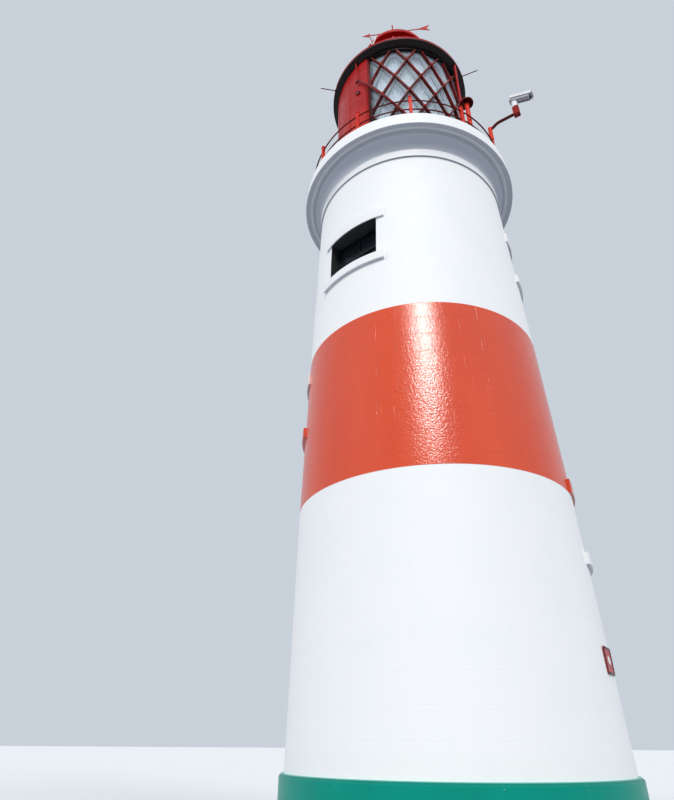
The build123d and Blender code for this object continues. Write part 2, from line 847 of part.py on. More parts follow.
with BuildPart() as ventilator:
    with BuildSketch(radial_plane(0)):
        with BuildLine():
            Polyline((drum_bore, cap_spring), (drum_bore, drum_foot_level),
                     (ventilator_radius, drum_foot_level), *louvre_edge(), (ventilator_radius, eave_level),
                     (eave_radius, eave_level), (eave_radius, cap_spring))
            cap_arc = degrees(acos(finial_neck_radius / eave_radius))
            EllipticalCenterArc((0, cap_spring), eave_radius, cap_rise, 0, arc_size=cap_arc)
            Line((finial_neck_radius, finial_foot), (finial_neck_radius, finial_neck_top))
            ThreePointArc((finial_neck_radius, finial_neck_top), (finial_radius, finial_centre),
                          (spindle_seat_radius, finial_seat))
            inner_cap_rise = cap_rise - ventilator_wall
            inner_cap_top = cap_spring + inner_cap_rise * sqrt(1 - (spindle_seat_radius / drum_bore) ** 2)
            Polyline((spindle_seat_radius, finial_seat), (0, finial_seat), (0, inner_cap_top),
                     (spindle_seat_radius, inner_cap_top))
            inner_cap_arc = degrees(acos(spindle_seat_radius / drum_bore))
            EllipticalCenterArc((0, cap_spring), drum_bore, inner_cap_rise, 0, arc_size=inner_cap_arc)
        make_face()
    revolve(axis=Axis.Z)
save(ventilator.part, "ventilator")

# Rods that stand out from the rim
with BuildPart() as rods:
    for azimuth in rim_rod_azimuths:
        seat = point_at(azimuth, rim_radius + seat_clearance, head_top - rim_depth / 2)
        root = point_at(azimuth, rim_radius + rim_rod_diameter / 4, head_top - rim_depth / 2)
        tip = point_at(azimuth, rim_radius + rim_rod_reach, head_top - rim_depth / 2 - rim_rod_drop)
        with BuildSketch(Plane(origin=seat, z_dir=point_at(azimuth, 1, 0))):
            Circle(rim_rod_diameter)
        extrude(amount=rim_rod_diameter / 2)
        with BuildSketch(Plane(origin=root, z_dir=tip - root)):
            Circle(rim_rod_diameter / 2)
        extrude(amount=(tip - root).length)
save(rods.part, "rim_rods")

# Forked aerial on the rim: a foot on the upstand, an arm and two prongs
with BuildPart() as aerial:
    aerial_foot = point_at(aerial_azimuth, rim_radius - rim_lip / 2, head_top + rim_upstand)
    aerial_knee = aerial_foot + point_at(aerial_azimuth, aerial_reach, aerial_height / 3)
    with BuildSketch(flat_plane(aerial_azimuth, rim_radius - rim_lip / 2, head_top + rim_upstand)):
        Rectangle(rim_lip, 2 * aerial_prong_diameter)
    extrude(amount=aerial_prong_diameter)
    with BuildSketch(Plane(origin=aerial_foot + Vector(0, 0, aerial_prong_diameter / 2),
                           z_dir=aerial_knee - aerial_foot)):
        Circle(aerial_prong_diameter / 2)
    extrude(amount=(aerial_knee - aerial_foot).length)
    fork_root = aerial_foot + Vector(0, 0, aerial_prong_diameter / 2)
    along_rim = Vector(cos(radians(aerial_azimuth)), sin(radians(aerial_azimuth)), 0)
    for lean in (-1, 1):
        prong = along_rim * (lean * aerial_spread / 2) + Vector(0, 0, aerial_height)
        with BuildSketch(Plane(origin=fork_root, z_dir=prong)):
            Circle(aerial_prong_diameter / 2)
        extrude(amount=prong.length)
save(aerial.part, "rim_aerial")

# Vane: an arrow on the spindle
with BuildPart() as vane:
    with BuildSketch(Plane.XY.offset(finial_seat)):
        Circle(spindle_diameter / 2)
    extrude(amount=spindle_top - finial_seat)
    with BuildSketch(radial_plane(vane_azimuth, vane_level)):
        with BuildLine():
            head_root = arrow_head_length - vane_tip
            Polyline(
                (-vane_tip, 0),
                (head_root, arrow_head_width / 2),
                (head_root - arrow_barb, vane_bar / 2),
                (vane_tail - flight_length, vane_bar / 2),
                (vane_tail, flight_width / 2),
                (vane_tail - flight_notch, 0),
                (vane_tail, -flight_width / 2),
                (vane_tail - flight_length, -vane_bar / 2),
                (head_root - arrow_barb, -vane_bar / 2),
                (head_root, -arrow_head_width / 2),
                close=True,
            )
        make_face()
    extrude(amount=vane_thickness / 2, both=True)
save(vane.part, "vane")

# Optic: pedestal, lens panels in prism rings, the bars between them and a crown
with BuildPart() as pedestal:
    with BuildSketch(Plane.XY.offset(gallery_level)):
        Circle(pedestal_radius)
        Circle(pedestal_radius - pedestal_thickness, mode=Mode.SUBTRACT)
    extrude(amount=pedestal_height)
    with BuildSketch(Plane.XY.offset(gallery_level + pedestal_height - pedestal_thickness)):
        Circle(optic_foot_radius + lens_bar_depth)
    extrude(amount=pedestal_thickness)
save(pedestal.part, "optic_pedestal")

optic_foot = gallery_level + pedestal_height
lens_profile = [(optic_foot_radius, optic_foot), (optic_radius, optic_foot + drum_foot),
                (optic_radius, optic_foot + drum_foot + drum_height),
                (optic_head_radius, optic_foot + optic_height)]
prism_counts = [prisms_below, prisms_on_drum, prisms_above]


def prism_edge():
    """Outer edge of the lens: a row of wedge prisms along each run of the profile."""
    points = []
    for (r0, z0), (r1, z1), count in zip(lens_profile[:-1], lens_profile[1:], prism_counts):
        for i in range(count):
            root = (r0 + (r1 - r0) * i / count, z0 + (z1 - z0) * i / count)
            crest_share = (i + 0.5) / count
            crest = (r0 + (r1 - r0) * crest_share + prism_depth, z0 + (z1 - z0) * crest_share)
            points += [root, crest]
    return points + [lens_profile[-1]]


panel_arc = 360 / lens_panels
inner_edge = [(r - lens_thickness, z) for r, z in reversed(lens_profile)]
outer_edge = [(r + lens_bar_depth - lens_thickness, z) for r, z in lens_profile]
with BuildPart() as lens_panel:
    with BuildSketch(radial_plane(0)):
        with BuildLine():
            Polyline(*prism_edge(), *inner_edge, close=True)
        make_face()
    revolve(axis=Axis.Z, revolution_arc=panel_arc)
    for azimuth in (0, panel_arc):
        with BuildSketch(radial_plane(azimuth)) as bar_bed:
            with BuildLine():
                Polyline(*outer_edge, *inner_edge, close=True)
            make_face()
        extrude(bar_bed.sketch, amount=lens_bar_width / 2 + lens_bar_gap, both=True, mode=Mode.SUBTRACT)
with BuildPart() as lens:
    with PolarLocations(0, lens_panels):
        add(lens_panel.part)
save(lens.part, "optic_lens")

with BuildPart() as lens_bar:
    with BuildSketch(radial_plane(0)):
        with BuildLine():
            Polyline(*outer_edge, *inner_edge, close=True)
        make_face()
    extrude(amount=lens_bar_width / 2, both=True)
with BuildPart() as lens_bars:
    with PolarLocations(0, lens_panels):
        add(lens_bar.part)
save(lens_bars.part, "optic_bars")

with BuildPart() as crown:
    with BuildSketch(Plane.XY.offset(optic_foot + optic_height)):
        Circle(optic_head_radius + lens_bar_depth)
    extrude(amount=crown_height, taper=35)
save(crown.part, "optic_crown")

# Camera: post and arm on a post of the railing, bracket with a pan head, housing and its sunshield
arm_level = camera_post_top + camera_arm_rise
bracket_radius = camera_arm_reach + bracket_length / 2
with BuildPart() as camera_arm:
    with BuildSketch(flat_plane(camera_azimuth, post_ring_radius, gallery_level + post_height)):
        Circle(camera_post_diameter / 2)
    extrude(amount=camera_post_top - gallery_level - post_height)
    with BuildLine(radial_plane(camera_azimuth)):
        arm_root = (post_ring_radius, camera_post_top - camera_arm_diameter)
        arm_knee = (post_ring_radius + camera_arm_knee, arm_level)
        arm_path = FilletPolyline(arm_root, arm_knee, (camera_arm_reach, arm_level), radius=camera_arm_knee)
    with BuildSketch(Plane(origin=arm_path @ 0, z_dir=arm_path % 0)):
        Circle(camera_arm_diameter / 2)
    sweep()
save(camera_arm.part, "camera_arm")

with BuildPart() as camera_bracket:
    bracket_top = arm_level - bracket_drop + bracket_height
    with BuildSketch(flat_plane(camera_azimuth, bracket_radius + seat_clearance, arm_level - bracket_drop)):
        Rectangle(bracket_length, bracket_width)
    extrude(amount=bracket_height)
    with BuildSketch(flat_plane(camera_azimuth, bracket_radius, bracket_top)):
        Circle(pan_head_radius)
    extrude(amount=pan_head_height)
    yoke_foot = bracket_top + pan_head_height
    with BuildSketch(flat_plane(camera_azimuth, bracket_radius, yoke_foot)):
        Rectangle(tilt_yoke_width, tilt_yoke_width)
    extrude(amount=tilt_yoke_width)
    camera_seat = Plane(
        origin=point_at(camera_azimuth, bracket_radius, yoke_foot + tilt_yoke_width / 2),
        x_dir=point_at(camera_azimuth, cos(radians(housing_pitch)), -sin(radians(housing_pitch))),
        z_dir=point_at(camera_azimuth, sin(radians(housing_pitch)), cos(radians(housing_pitch))))
    split(bisect_by=camera_seat, keep=Keep.BOTTOM)
save(camera_bracket.part, "camera_bracket")

housing_end = camera_seat.offset(seat_clearance)
housing_face = Plane(origin=housing_end.from_local_coords((-housing_behind, 0, 0)),
                     x_dir=housing_end.y_dir, z_dir=housing_end.x_dir)
with BuildPart() as camera_housing:
    with BuildSketch(housing_face):
        with Locations((0, housing_height / 2)):
            RectangleRounded(housing_width, housing_height, housing_height / 5)
    extrude(amount=housing_length)
    front = camera_housing.faces().sort_by(Axis(housing_face.origin, housing_face.z_dir))[-1]
    with BuildSketch(Plane(front)):
        Circle(housing_height * 0.36)
    extrude(amount=-housing_height / 6, mode=Mode.SUBTRACT)
save(camera_housing.part, "camera_housing")

with BuildPart() as camera_shield:
    with BuildSketch(housing_face):
        with BuildLine():
            half = housing_width / 2 + shield_side_gap
            top = housing_height + seat_clearance
            Polyline((-half, top - shield_drop), (-half, top), (half, top), (half, top - shield_drop))
            offset(amount=shield_thickness, side=Side.LEFT)
        make_face()
    extrude(amount=housing_length + shield_overhang)
save(camera_shield.part, "camera_shield")

# Notice plate
with BuildPart() as plate:
    plate_foot_radius = wall_radius(plate_level - plate_height / 2) + seat_clearance
    with BuildSketch(facing_plane(plate_azimuth, plate_foot_radius, plate_level)):
        RectangleRounded(plate_width, plate_height, plate_corner)
    extrude(amount=plate_thickness)
save(plate.part, "notice_plate")
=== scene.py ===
import bpy
from math import cos, pi, radians, sin, sqrt
from mathutils import Matrix, Vector


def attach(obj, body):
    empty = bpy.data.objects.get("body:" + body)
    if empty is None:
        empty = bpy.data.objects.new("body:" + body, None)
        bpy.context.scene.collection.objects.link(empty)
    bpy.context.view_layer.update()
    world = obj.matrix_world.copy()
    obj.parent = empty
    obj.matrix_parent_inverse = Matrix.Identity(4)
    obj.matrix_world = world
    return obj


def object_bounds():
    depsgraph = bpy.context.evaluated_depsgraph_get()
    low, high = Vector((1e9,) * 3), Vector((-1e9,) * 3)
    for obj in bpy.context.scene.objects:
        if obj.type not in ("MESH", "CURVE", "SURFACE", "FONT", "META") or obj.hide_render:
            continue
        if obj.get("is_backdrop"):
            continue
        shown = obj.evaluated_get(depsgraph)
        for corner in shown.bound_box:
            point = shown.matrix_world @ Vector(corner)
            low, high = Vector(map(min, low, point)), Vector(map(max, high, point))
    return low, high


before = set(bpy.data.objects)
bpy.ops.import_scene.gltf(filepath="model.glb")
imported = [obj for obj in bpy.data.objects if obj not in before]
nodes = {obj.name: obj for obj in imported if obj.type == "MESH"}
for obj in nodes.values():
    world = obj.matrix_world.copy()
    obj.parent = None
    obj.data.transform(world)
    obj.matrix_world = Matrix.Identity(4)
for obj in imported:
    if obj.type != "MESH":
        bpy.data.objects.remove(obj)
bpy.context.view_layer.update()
print("frame loaded:", len(nodes), "nodes")

# Levels and radii in metres, azimuths in degrees: 0 faces -Y, 90 faces +X
tower = {
    "plinthTop": 0.8, "bandLow": 5.32, "bandHigh": 8.98, "string": 13.82, "coveTop": 14.5, "deck": 14.93,
    "wallRadii": ((0.8, 2.9), (5.32, 2.801), (8.98, 2.672), (13.82, 2.49)),    # level and radius
    "courseFoot": 0.812, "course": 0.433, "blocksRound": 20, "slabArc": 15.0,
    "curbFoot": 16.01, "glazingFoot": 16.08, "glazingHead": 19.62,
    "glazingStart": -23.8, "glazedBays": 10, "allBays": 16, "bayArc": 22.5,
    "baseRadius": 2.07, "blankRadius": 2.045, "barFace": 2.03, "halfRow": 0.757, "latticeCrown": 19.75,
    "headTop": 19.86, "soffitEdge": 19.751, "rimLip": 19.825,
    "domeRadius": 2.08, "domeRise": 1.5, "domeThickness": 0.04, "courseRise": 0.9, "collarFoot": 1.12,
    "postRing": 2.75, "firstPost": 6.3, "posts": 12, "postHeight": 0.94, "railHeights": (0.43, 0.80),
    "cameraPost": 2, "cameraAzimuth": 66.3, "doorAzimuth": 247.0, "taper": 0.03525,
}
signal = {"azimuth": -32.6, "halfWidth": 0.7, "sill": 10.65, "head": 11.82, "roomRadius": 2.588}

# Where one colour gives way to another
edges = {
    "lintelFace": 2.996, "lintelFoot": 8.34, "splashFoot": 0.715, "plinthChamfer": 0.758, "plinthArris": 2.950,
    "barsDark": 16.4, "barsBright": 18.4, "barsBlack": 19.535,
    "platesOrange": 16.2, "platesRed": 17.5, "plateInside": 2.0215, "baseInside": 1.99, "headInside": 1.95,
    "flange": 1.8015, "ventHead": 16.475, "socketRadius": 2.815, "socketTop": 16.395, "bracketTop": 16.698,
    "housingSide": 0.035,
}


def placeAt(azimuth, radius, level):
    turn = radians(azimuth)
    return Vector((radius * sin(turn), -radius * cos(turn), level))


def wallRadius(level):
    for (low, lowRadius), (high, highRadius) in zip(tower["wallRadii"], tower["wallRadii"][1:]):
        if level <= high:
            return lowRadius + (highRadius - lowRadius) * (level - low) / (high - low)


# A socket, with the operators of Python as Math nodes
class Wire:
    def __init__(self, board, socket):
        self.board, self.socket = board, socket

    def maths(self, operation, first, *others):
        values = dict(enumerate((first, *others)))
        return self.board.add("ShaderNodeMath", {"operation": operation}, values)

    def __add__(self, other): return self.maths("ADD", self, other)
    def __radd__(self, other): return self.maths("ADD", other, self)
    def __sub__(self, other): return self.maths("SUBTRACT", self, other)
    def __rsub__(self, other): return self.maths("SUBTRACT", other, self)
    def __mul__(self, other): return self.maths("MULTIPLY", self, other)
    def __rmul__(self, other): return self.maths("MULTIPLY", other, self)
    def __truediv__(self, other): return self.maths("DIVIDE", self, other)
    def __pow__(self, other): return self.maths("POWER", self, other)

    def scaled(self, low, high, newLow, newHigh):
        return self.board.add("ShaderNodeMapRange", {"clamp": True}, {
            "Value": self, "From Min": low, "From Max": high, "To Min": newLow, "To Max": newHigh})

    # 1 above the edge and 0 below it, soft over the width
    def above(self, edge, width=0.002):
        return self.scaled(edge - width / 2, edge + width / 2, 0.0, 1.0)

    def below(self, edge, width=0.002):
        return self.scaled(edge - width / 2, edge + width / 2, 1.0, 0.0)

    # 1 between two edges
    def between(self, low, high, width=0.002):
        return self.above(low, width) * self.below(high, width)


# A node tree that nodes are added to
class Board:
    def __init__(self, tree):
        self.tree = tree
        tree.nodes.clear()

    def add(self, kind, settings, values, out=0):
        node = self.tree.nodes.new(kind)
        for key, value in settings.items():
            setattr(node, key, value)
        for key, value in values.items():
            self.feed(node.inputs[key], value)
        return Wire(self, node.outputs[out]) if node.outputs else node

    def feed(self, socket, value):
        if isinstance(value, Wire):
            self.tree.links.new(value.socket, socket)
        else:
            socket.default_value = value


# A material with one Principled shader, on Object coordinates
class Finish(Board):
    def __init__(self, name):
        self.material = bpy.data.materials.new(name)
        self.material.use_nodes = True
        super().__init__(self.material.node_tree)
        self.shader = self.tree.nodes.new("ShaderNodeBsdfPrincipled")
        self.add("ShaderNodeOutputMaterial", {}, {0: Wire(self, self.shader.outputs[0])})
        self.place = self.add("ShaderNodeTexCoord", {}, {}, "Object")
        self.x, self.y, self.z = (self.add("ShaderNodeSeparateXYZ", {}, {0: self.place}, i) for i in range(3))

    def set(self, **values):
        for key, value in values.items():
            self.feed(self.shader.inputs[key.replace("_", " ")], value)
        return self

    def mix(self, share, first, second):
        return self.add("ShaderNodeMix", {"data_type": "RGBA"}, {0: share, 6: first, 7: second}, 2)

    def noise(self, scale, detail=3.0, rough=0.5, stretch=None):
        place = self.place
        if stretch:
            place = self.add("ShaderNodeVectorMath", {"operation": "MULTIPLY"}, {0: self.place, 1: stretch})
        return self.add("ShaderNodeTexNoise", {}, {
            "Vector": place, "Scale": scale, "Detail": detail, "Roughness": rough}, "Fac")

    def bump(self, height, distance, strength=1.0):
        return self.add("ShaderNodeBump", {}, {"Height": height, "Distance": distance, "Strength": strength})

    def radius(self):
        return (self.x * self.x + self.y * self.y) ** 0.5

    # Angle round the axis in radians, from azimuth 0
    def turn(self):
        return self.add("ShaderNodeMath", {"operation": "ARCTAN2"}, {0: self.x, 1: self.y * -1})

    # Distance along the ground in the direction of an azimuth, and across it
    def along(self, azimuth):
        return self.x * sin(radians(azimuth)) - self.y * cos(radians(azimuth))

    def across(self, azimuth):
        return self.x * cos(radians(azimuth)) + self.y * sin(radians(azimuth))

    # Distance of a value from the nearest multiple of a step
    def fromNearest(self, value, step):
        return self.add("ShaderNodeMath", {"operation": "PINGPONG"}, {0: value, 1: step / 2})

    # 0 on the lintel over the left-hand stair window, which is picked out in white, and 1 elsewhere
    def keepWhite(self):
        proud = (self.radius() + self.z * tower["taper"]).above(edges["lintelFace"])
        return 1 - proud * self.z.above(edges["lintelFoot"]) * self.x.below(0.0)

    # Joints between masonry blocks: 1 in a joint
    def joints(self, width=0.010):
        up = (self.z - tower["courseFoot"]) / (3 * tower["course"])
        around = self.turn() * (tower["blocksRound"] / (2 * pi))
        uv = self.add("ShaderNodeCombineXYZ", {}, {0: around, 1: up})
        return self.add("ShaderNodeTexBrick", {"offset": 0.5, "squash": 1.0}, {
            "Vector": uv, "Scale": 1.0, "Mortar Size": width, "Mortar Smooth": 0.4, "Bias": 0.0,
            "Brick Width": 1.0, "Row Height": 1 / 3}, "Fac")


def colour(red, green, blue):
    return (red, green, blue, 1.0)


paint = {
    "white": colour(0.905, 0.915, 0.915), "shade": colour(0.83, 0.86, 0.89),
    "orange": colour(0.74, 0.062, 0.002), "orangeDeep": colour(0.67, 0.046, 0.002),
    "scratch": colour(0.88, 0.30, 0.16), "coveShade": colour(0.76, 0.80, 0.88),
    "slab": colour(0.36, 0.37, 0.37), "slabPale": colour(0.50, 0.51, 0.50),
    "green": colour(0.0, 0.285, 0.215), "greenDeep": colour(0.0, 0.235, 0.175),
    "greenChamferShade": colour(0.0, 0.10, 0.075), "greenChamferHighlight": colour(0.30, 0.62, 0.56),
    "red": colour(0.53, 0.009, 0.007), "redDeep": colour(0.33, 0.007, 0.007),
    "plate": colour(0.45, 0.010, 0.009),
    # rail: the dark red that paints shade on the rails and under the vent's cap, and the camera arm's colour
    "post": colour(0.76, 0.045, 0.014), "rail": colour(0.13, 0.009, 0.008),
    "barLow": colour(0.040, 0.008, 0.008), "barHigh": colour(0.25, 0.016, 0.012),
    "rust": colour(0.20, 0.050, 0.018), "stain": colour(0.56, 0.54, 0.47),
    "soot": colour(0.010, 0.012, 0.014),
    "soffit": colour(0.012, 0.008, 0.008), "gutter": colour(0.050, 0.008, 0.008),
    "shadow": colour(0.36, 0.39, 0.44),
}


# Painted masonry: white, orange-red between two levels, black inside the signal window, and a painted shadow
# under the string course
def makeWallPaint():
    f = Finish("towerPaint")
    joint = f.joints()
    stipple = f.noise(44.0, 3.0, 0.65)
    patches = f.noise(1.3, 4.0, 0.55)
    lifts = f.noise(0.9, 3.0, 0.6, (1.0, 1.0, 0.25))
    runs = f.noise(3.2, 3.0, 0.6, (1.0, 1.0, 0.05))
    band = f.z.between(tower["bandLow"], tower["bandHigh"], 0.012)
    dull = patches.scaled(0.45, 0.75, 0.0, 0.5) * runs.scaled(0.35, 0.7, 0.3, 1.0)
    white = f.mix(dull, paint["white"], paint["shade"])
    foot = f.z.scaled(tower["plinthTop"], 1.2, 0.14, 0.0) * stipple.scaled(0.35, 0.65, 0.2, 1.0)
    white = f.mix(foot, white, paint["stain"])
    orange = f.mix(lifts.scaled(0.35, 0.7, 0.0, 0.8), paint["orange"], paint["orangeDeep"])
    scratch = f.noise(12.0, 2.0, 0.5, (1.0, 1.0, 0.06)).above(0.712, 0.02)
    orange = f.mix(scratch * f.noise(1.3, 2.0, 0.5).above(0.50, 0.08) * 0.35, orange, paint["scratch"])
    body = f.mix(band * f.keepWhite(), white, orange)
    body = f.mix(joint * band.scaled(0.0, 1.0, 0.012, 0.045), body, paint["soot"])
    # Painted shadow: the wall turns grey just under the string course
    stringShadow = f.z.scaled(tower["string"] - 0.085, tower["string"] - 0.01, 0.0, 0.55)
    body = f.mix(stringShadow, body, paint["shadow"])
    halfWidth = signal["halfWidth"] + 0.001
    opening = f.across(signal["azimuth"]).between(-halfWidth, halfWidth, 0.0005) \
        * f.z.between(signal["sill"] - 0.0005, signal["head"] + 0.0005, 0.0005)
    room = f.radius().below(signal["roomRadius"]) * f.along(signal["azimuth"]).above(1.0)
    body = f.mix(opening * room, body, paint["soot"])
    crinkle = f.noise(26.0, 2.5, 0.6) * band.scaled(0.0, 1.0, 0.25, 1.35)
    height = (1 - joint) * band.scaled(0.0, 1.0, 0.10, 0.32) + stipple * 0.12 + crinkle + lifts * 0.5
    matt, gloss = stipple.scaled(0.3, 0.7, 0.58, 0.70), stipple.scaled(0.3, 0.7, 0.15, 0.26)
    f.set(Base_Color=body, Roughness=matt * (1 - band) + gloss * band, Normal=f.bump(height, 0.0055, 0.8),
          Specular_IOR_Level=0.80)
    return f.material


# The cornice: smooth paint with painted shade on the cove, in its groove and under the string ring, and a grey
# walking surface on top with joints that run to the axis
def makeCornicePaint():
    f = Finish("cornicePaint")
    patches = f.noise(1.7, 4.0, 0.55)
    grain = f.noise(60.0, 2.0, 0.6)
    drips = f.noise(3.0, 3.0, 0.6, (1.0, 1.0, 0.05))
    dull = patches.scaled(0.4, 0.75, 0.0, 0.5) * drips.scaled(0.35, 0.7, 0.2, 1.0)
    body = f.mix(dull, paint["white"], paint["shade"])
    top = f.z.above(tower["deck"] - 0.003)
    slot = f.fromNearest(f.turn(), radians(tower["slabArc"])).below(0.0022, 0.0015)
    # Painted shade: bluish grey on the upper cove, grey in the groove under the soffit and along the foot of
    # the string ring
    grooveShade = f.z.between(tower["coveTop"] - 0.026, tower["coveTop"] + 0.014, 0.006)
    shadedCove = f.z.scaled(tower["string"] + 0.24, tower["string"] + 0.34, 0.0, 1.0)
    body = f.mix(shadedCove * f.z.below(tower["coveTop"] + 0.01) * 0.5, body, paint["coveShade"])
    body = f.mix(grooveShade * 0.45 + f.z.below(tower["string"] + 0.008) * 0.6, body, paint["shadow"])
    walk = f.mix(patches, paint["slab"], paint["slabPale"])
    walk = f.mix(slot * 0.8, walk, paint["soot"])
    body = f.mix(top, body, walk)
    f.set(Base_Color=body, Roughness=grain.scaled(0.3, 0.7, 0.40, 0.55),
          Normal=f.bump(grain * 0.3 + patches - slot * top, 0.004, 0.5), Specular_IOR_Level=0.35)
    return f.material


# The plinth: green, with white splashes along its arris and dirt at its foot, painted shade on its chamfer and
# a painted highlight along the chamfer's top edge
def makePlinthPaint():
    f = Finish("plinthPaint")
    joint = f.joints()
    stipple = f.noise(44.0, 3.0, 0.65)
    patches = f.noise(1.6, 4.0, 0.6)
    chips = f.noise(17.0, 4.0, 0.7)
    green = f.mix(patches.scaled(0.35, 0.7, 0.0, 0.7), paint["green"], paint["greenDeep"])
    splash = chips.above(0.700, 0.02) * f.z.above(edges["splashFoot"], 0.05)
    green = f.mix(splash * 0.9, green, paint["white"])
    dirt = f.z.scaled(0.0, 0.25, 0.4, 0.0) * chips.scaled(0.3, 0.7, 0.2, 1.0)
    green = f.mix(dirt, green, paint["stain"])
    # Painted shade darkens the chamfer, and a painted highlight lightens its top edge
    chamfer = f.z.above(edges["plinthChamfer"], 0.003)
    green = f.mix(chamfer * 0.55, green, paint["greenChamferShade"])
    chamferHighlight = chamfer * f.radius().below(edges["plinthArris"], 0.006)
    green = f.mix(chamferHighlight * 0.5, green, paint["greenChamferHighlight"])
    height = (1 - joint) * 0.3 + stipple * 0.3 + f.noise(26.0, 2.5, 0.6) * 0.6 + patches * 0.5
    f.set(Base_Color=green, Roughness=stipple.scaled(0.3, 0.7, 0.30, 0.42), Normal=f.bump(height, 0.005, 0.7),
          Specular_IOR_Level=0.16)
    return f.material


# Gloss paint on iron: brush marks, a little fading, and rust where water sits
def makeIronPaint(name, main, deep, rusty=0.3):
    f = Finish(name)
    patches = f.noise(2.4, 4.0, 0.6)
    brush = f.noise(14.0, 3.0, 0.6, (1.0, 1.0, 0.12))
    spots = f.noise(23.0, 4.0, 0.7)
    body = f.mix(patches.scaled(0.35, 0.7, 0.0, 0.85), main, deep)
    f.body = f.mix(spots.scaled(0.68, 0.78, 0.0, rusty), body, paint["rust"])
    f.set(Base_Color=f.body, Roughness=patches.scaled(0.3, 0.7, 0.32, 0.48),
          Normal=f.bump(brush * 0.5 + spots * 0.25, 0.0025, 0.5), Specular_IOR_Level=0.16)
    return f


# A second colour where the mask is 1
def makeTwoTone(name, main, deep, second, mask, rusty=0.3):
    f = makeIronPaint(name, main, deep, rusty)
    f.set(Base_Color=f.mix(mask(f), f.body, second))
    return f.material


# 1 inside the middle of the dome's thickness
def domeInside(f):
    outwards = f.radius() / (tower["domeRadius"] - tower["domeThickness"] / 2)
    up = (f.z - tower["headTop"]) / (tower["domeRise"] - tower["domeThickness"] / 2)
    return (outwards * outwards + up * up).below(1.0, 0.01)


# 1 on the rails, clear of the posts, where the railing's red is darkened: painted shade on the rails
def shadedRails(f):
    fromPost = f.fromNearest(f.turn() - radians(tower["firstPost"]) + 2 * pi, 2 * pi / tower["posts"])
    low, high = (f.z.between(tower["deck"] + height - 0.026, tower["deck"] + height + 0.026)
                 for height in tower["railHeights"])
    return fromPost.above(0.0155) * (low + high)


# The lantern's bars are darker low down, and black where they end under the head, painted shade under its
# overhang
def makeBarPaint():
    f = makeIronPaint("barPaint", paint["barHigh"], paint["barLow"], 0.5)
    body = f.mix(f.z.scaled(edges["barsDark"], edges["barsBright"], 0.85, 0.0), f.body, paint["barLow"])
    f.set(Base_Color=f.mix(f.z.above(edges["barsBlack"]), body, paint["soffit"]))
    return f.material


# The lantern's head: bright lip, then painted shade below it, dark red under the lip and black on the soffit,
# white inside
def makeHeadPaint():
    f = makeIronPaint("headPaint", paint["red"], paint["redDeep"])
    body = f.mix(f.z.below(tower["rimLip"], 0.006), f.body, paint["gutter"])
    body = f.mix(f.z.below(tower["soffitEdge"]), body, paint["soffit"])
    f.set(Base_Color=f.mix(f.radius().below(edges["headInside"]), body, paint["white"]))
    return f.material


# The lantern's plates: more orange low down, and white inside
def makePlatePaint(name, inside):
    f = makeIronPaint(name, paint["plate"], paint["redDeep"])
    scuffs = f.noise(5.0, 4.0, 0.65, (1.0, 1.0, 0.3))
    low = f.z.scaled(edges["platesOrange"], edges["platesRed"], 0.75, 0.0) * scuffs.scaled(0.3, 0.6, 0.4, 1.0)
    body = f.mix(low, f.body, paint["post"])
    f.set(Base_Color=f.mix(f.radius().below(inside), body, paint["white"]))
    return f.material


# The camera's housing: grey, and dark on one side
def makeHousingPaint():
    f = makeEnamel("housingGrey", colour(0.56, 0.60, 0.64), colour(0.30, 0.31, 0.31))
    side = f.across(tower["cameraAzimuth"]).above(edges["housingSide"], 0.004)
    f.set(Base_Color=f.mix(side, f.body, colour(0.020, 0.024, 0.026)))
    return f.material


# White webs behind the glass, with a dark flange
def makeInnerBarPaint():
    f = Finish("innerBarPaint")
    patches = f.noise(6.0, 3.0, 0.5)
    grain = f.noise(40.0, 3.0, 0.6)
    body = f.mix(patches.scaled(0.4, 0.75, 0.0, 0.6), paint["white"], colour(0.60, 0.66, 0.72))
    body = f.mix(f.radius().below(edges["flange"]), body, colour(0.035, 0.050, 0.065))
    f.set(Base_Color=body, Roughness=patches.scaled(0.3, 0.7, 0.3, 0.45), Normal=f.bump(grain, 0.001, 0.3))
    return f.material


# Lantern glass with a light pale blue haze, a painted reflection of the sky
def makeLanternGlass():
    f = Finish("lanternGlass")
    skyReflection = f.noise(1.4, 4.0, 0.6)
    streaks = f.noise(9.0, 3.0, 0.6, (1.0, 1.0, 0.08))
    cover = skyReflection.scaled(0.3, 0.75, 0.15, 0.22) + streaks.scaled(0.4, 0.75, 0.0, 0.03)
    f.set(Base_Color=f.mix(skyReflection.scaled(0.3, 0.7, 0.0, 1.0), colour(0.68, 0.86, 1.0), colour(0.80, 0.93, 1.0)),
          Alpha=cover, Roughness=streaks.scaled(0.3, 0.7, 0.04, 0.12), Specular_IOR_Level=0.5)
    return f.material


# Window glass painted nearly black: painted shade of the unlit room behind it
def makeRoomShadeGlass():
    f = Finish("windowGlass")
    ripple = f.noise(5.0, 2.0, 0.5)
    f.set(Base_Color=colour(0.009, 0.012, 0.015), Roughness=ripple.scaled(0.3, 0.7, 0.08, 0.16),
          Normal=f.bump(ripple, 0.002, 0.3), Specular_IOR_Level=0.12)
    return f.material


# Optic glass with fine prism rings
def makeOpticGlass():
    f = Finish("opticGlass")
    rings = f.add("ShaderNodeTexWave", {"wave_type": "BANDS", "bands_direction": "Z"}, {
        "Vector": f.place, "Scale": 9.0, "Distortion": 0.0}, "Fac")
    f.set(Base_Color=f.mix(rings, colour(0.62, 0.80, 0.80), colour(0.86, 0.95, 0.96)),
          Alpha=rings.scaled(0, 1, 0.42, 0.62), Roughness=rings.scaled(0.0, 1.0, 0.03, 0.10),
          Normal=f.bump(rings, 0.01, 0.6), Specular_IOR_Level=0.8)
    return f.material


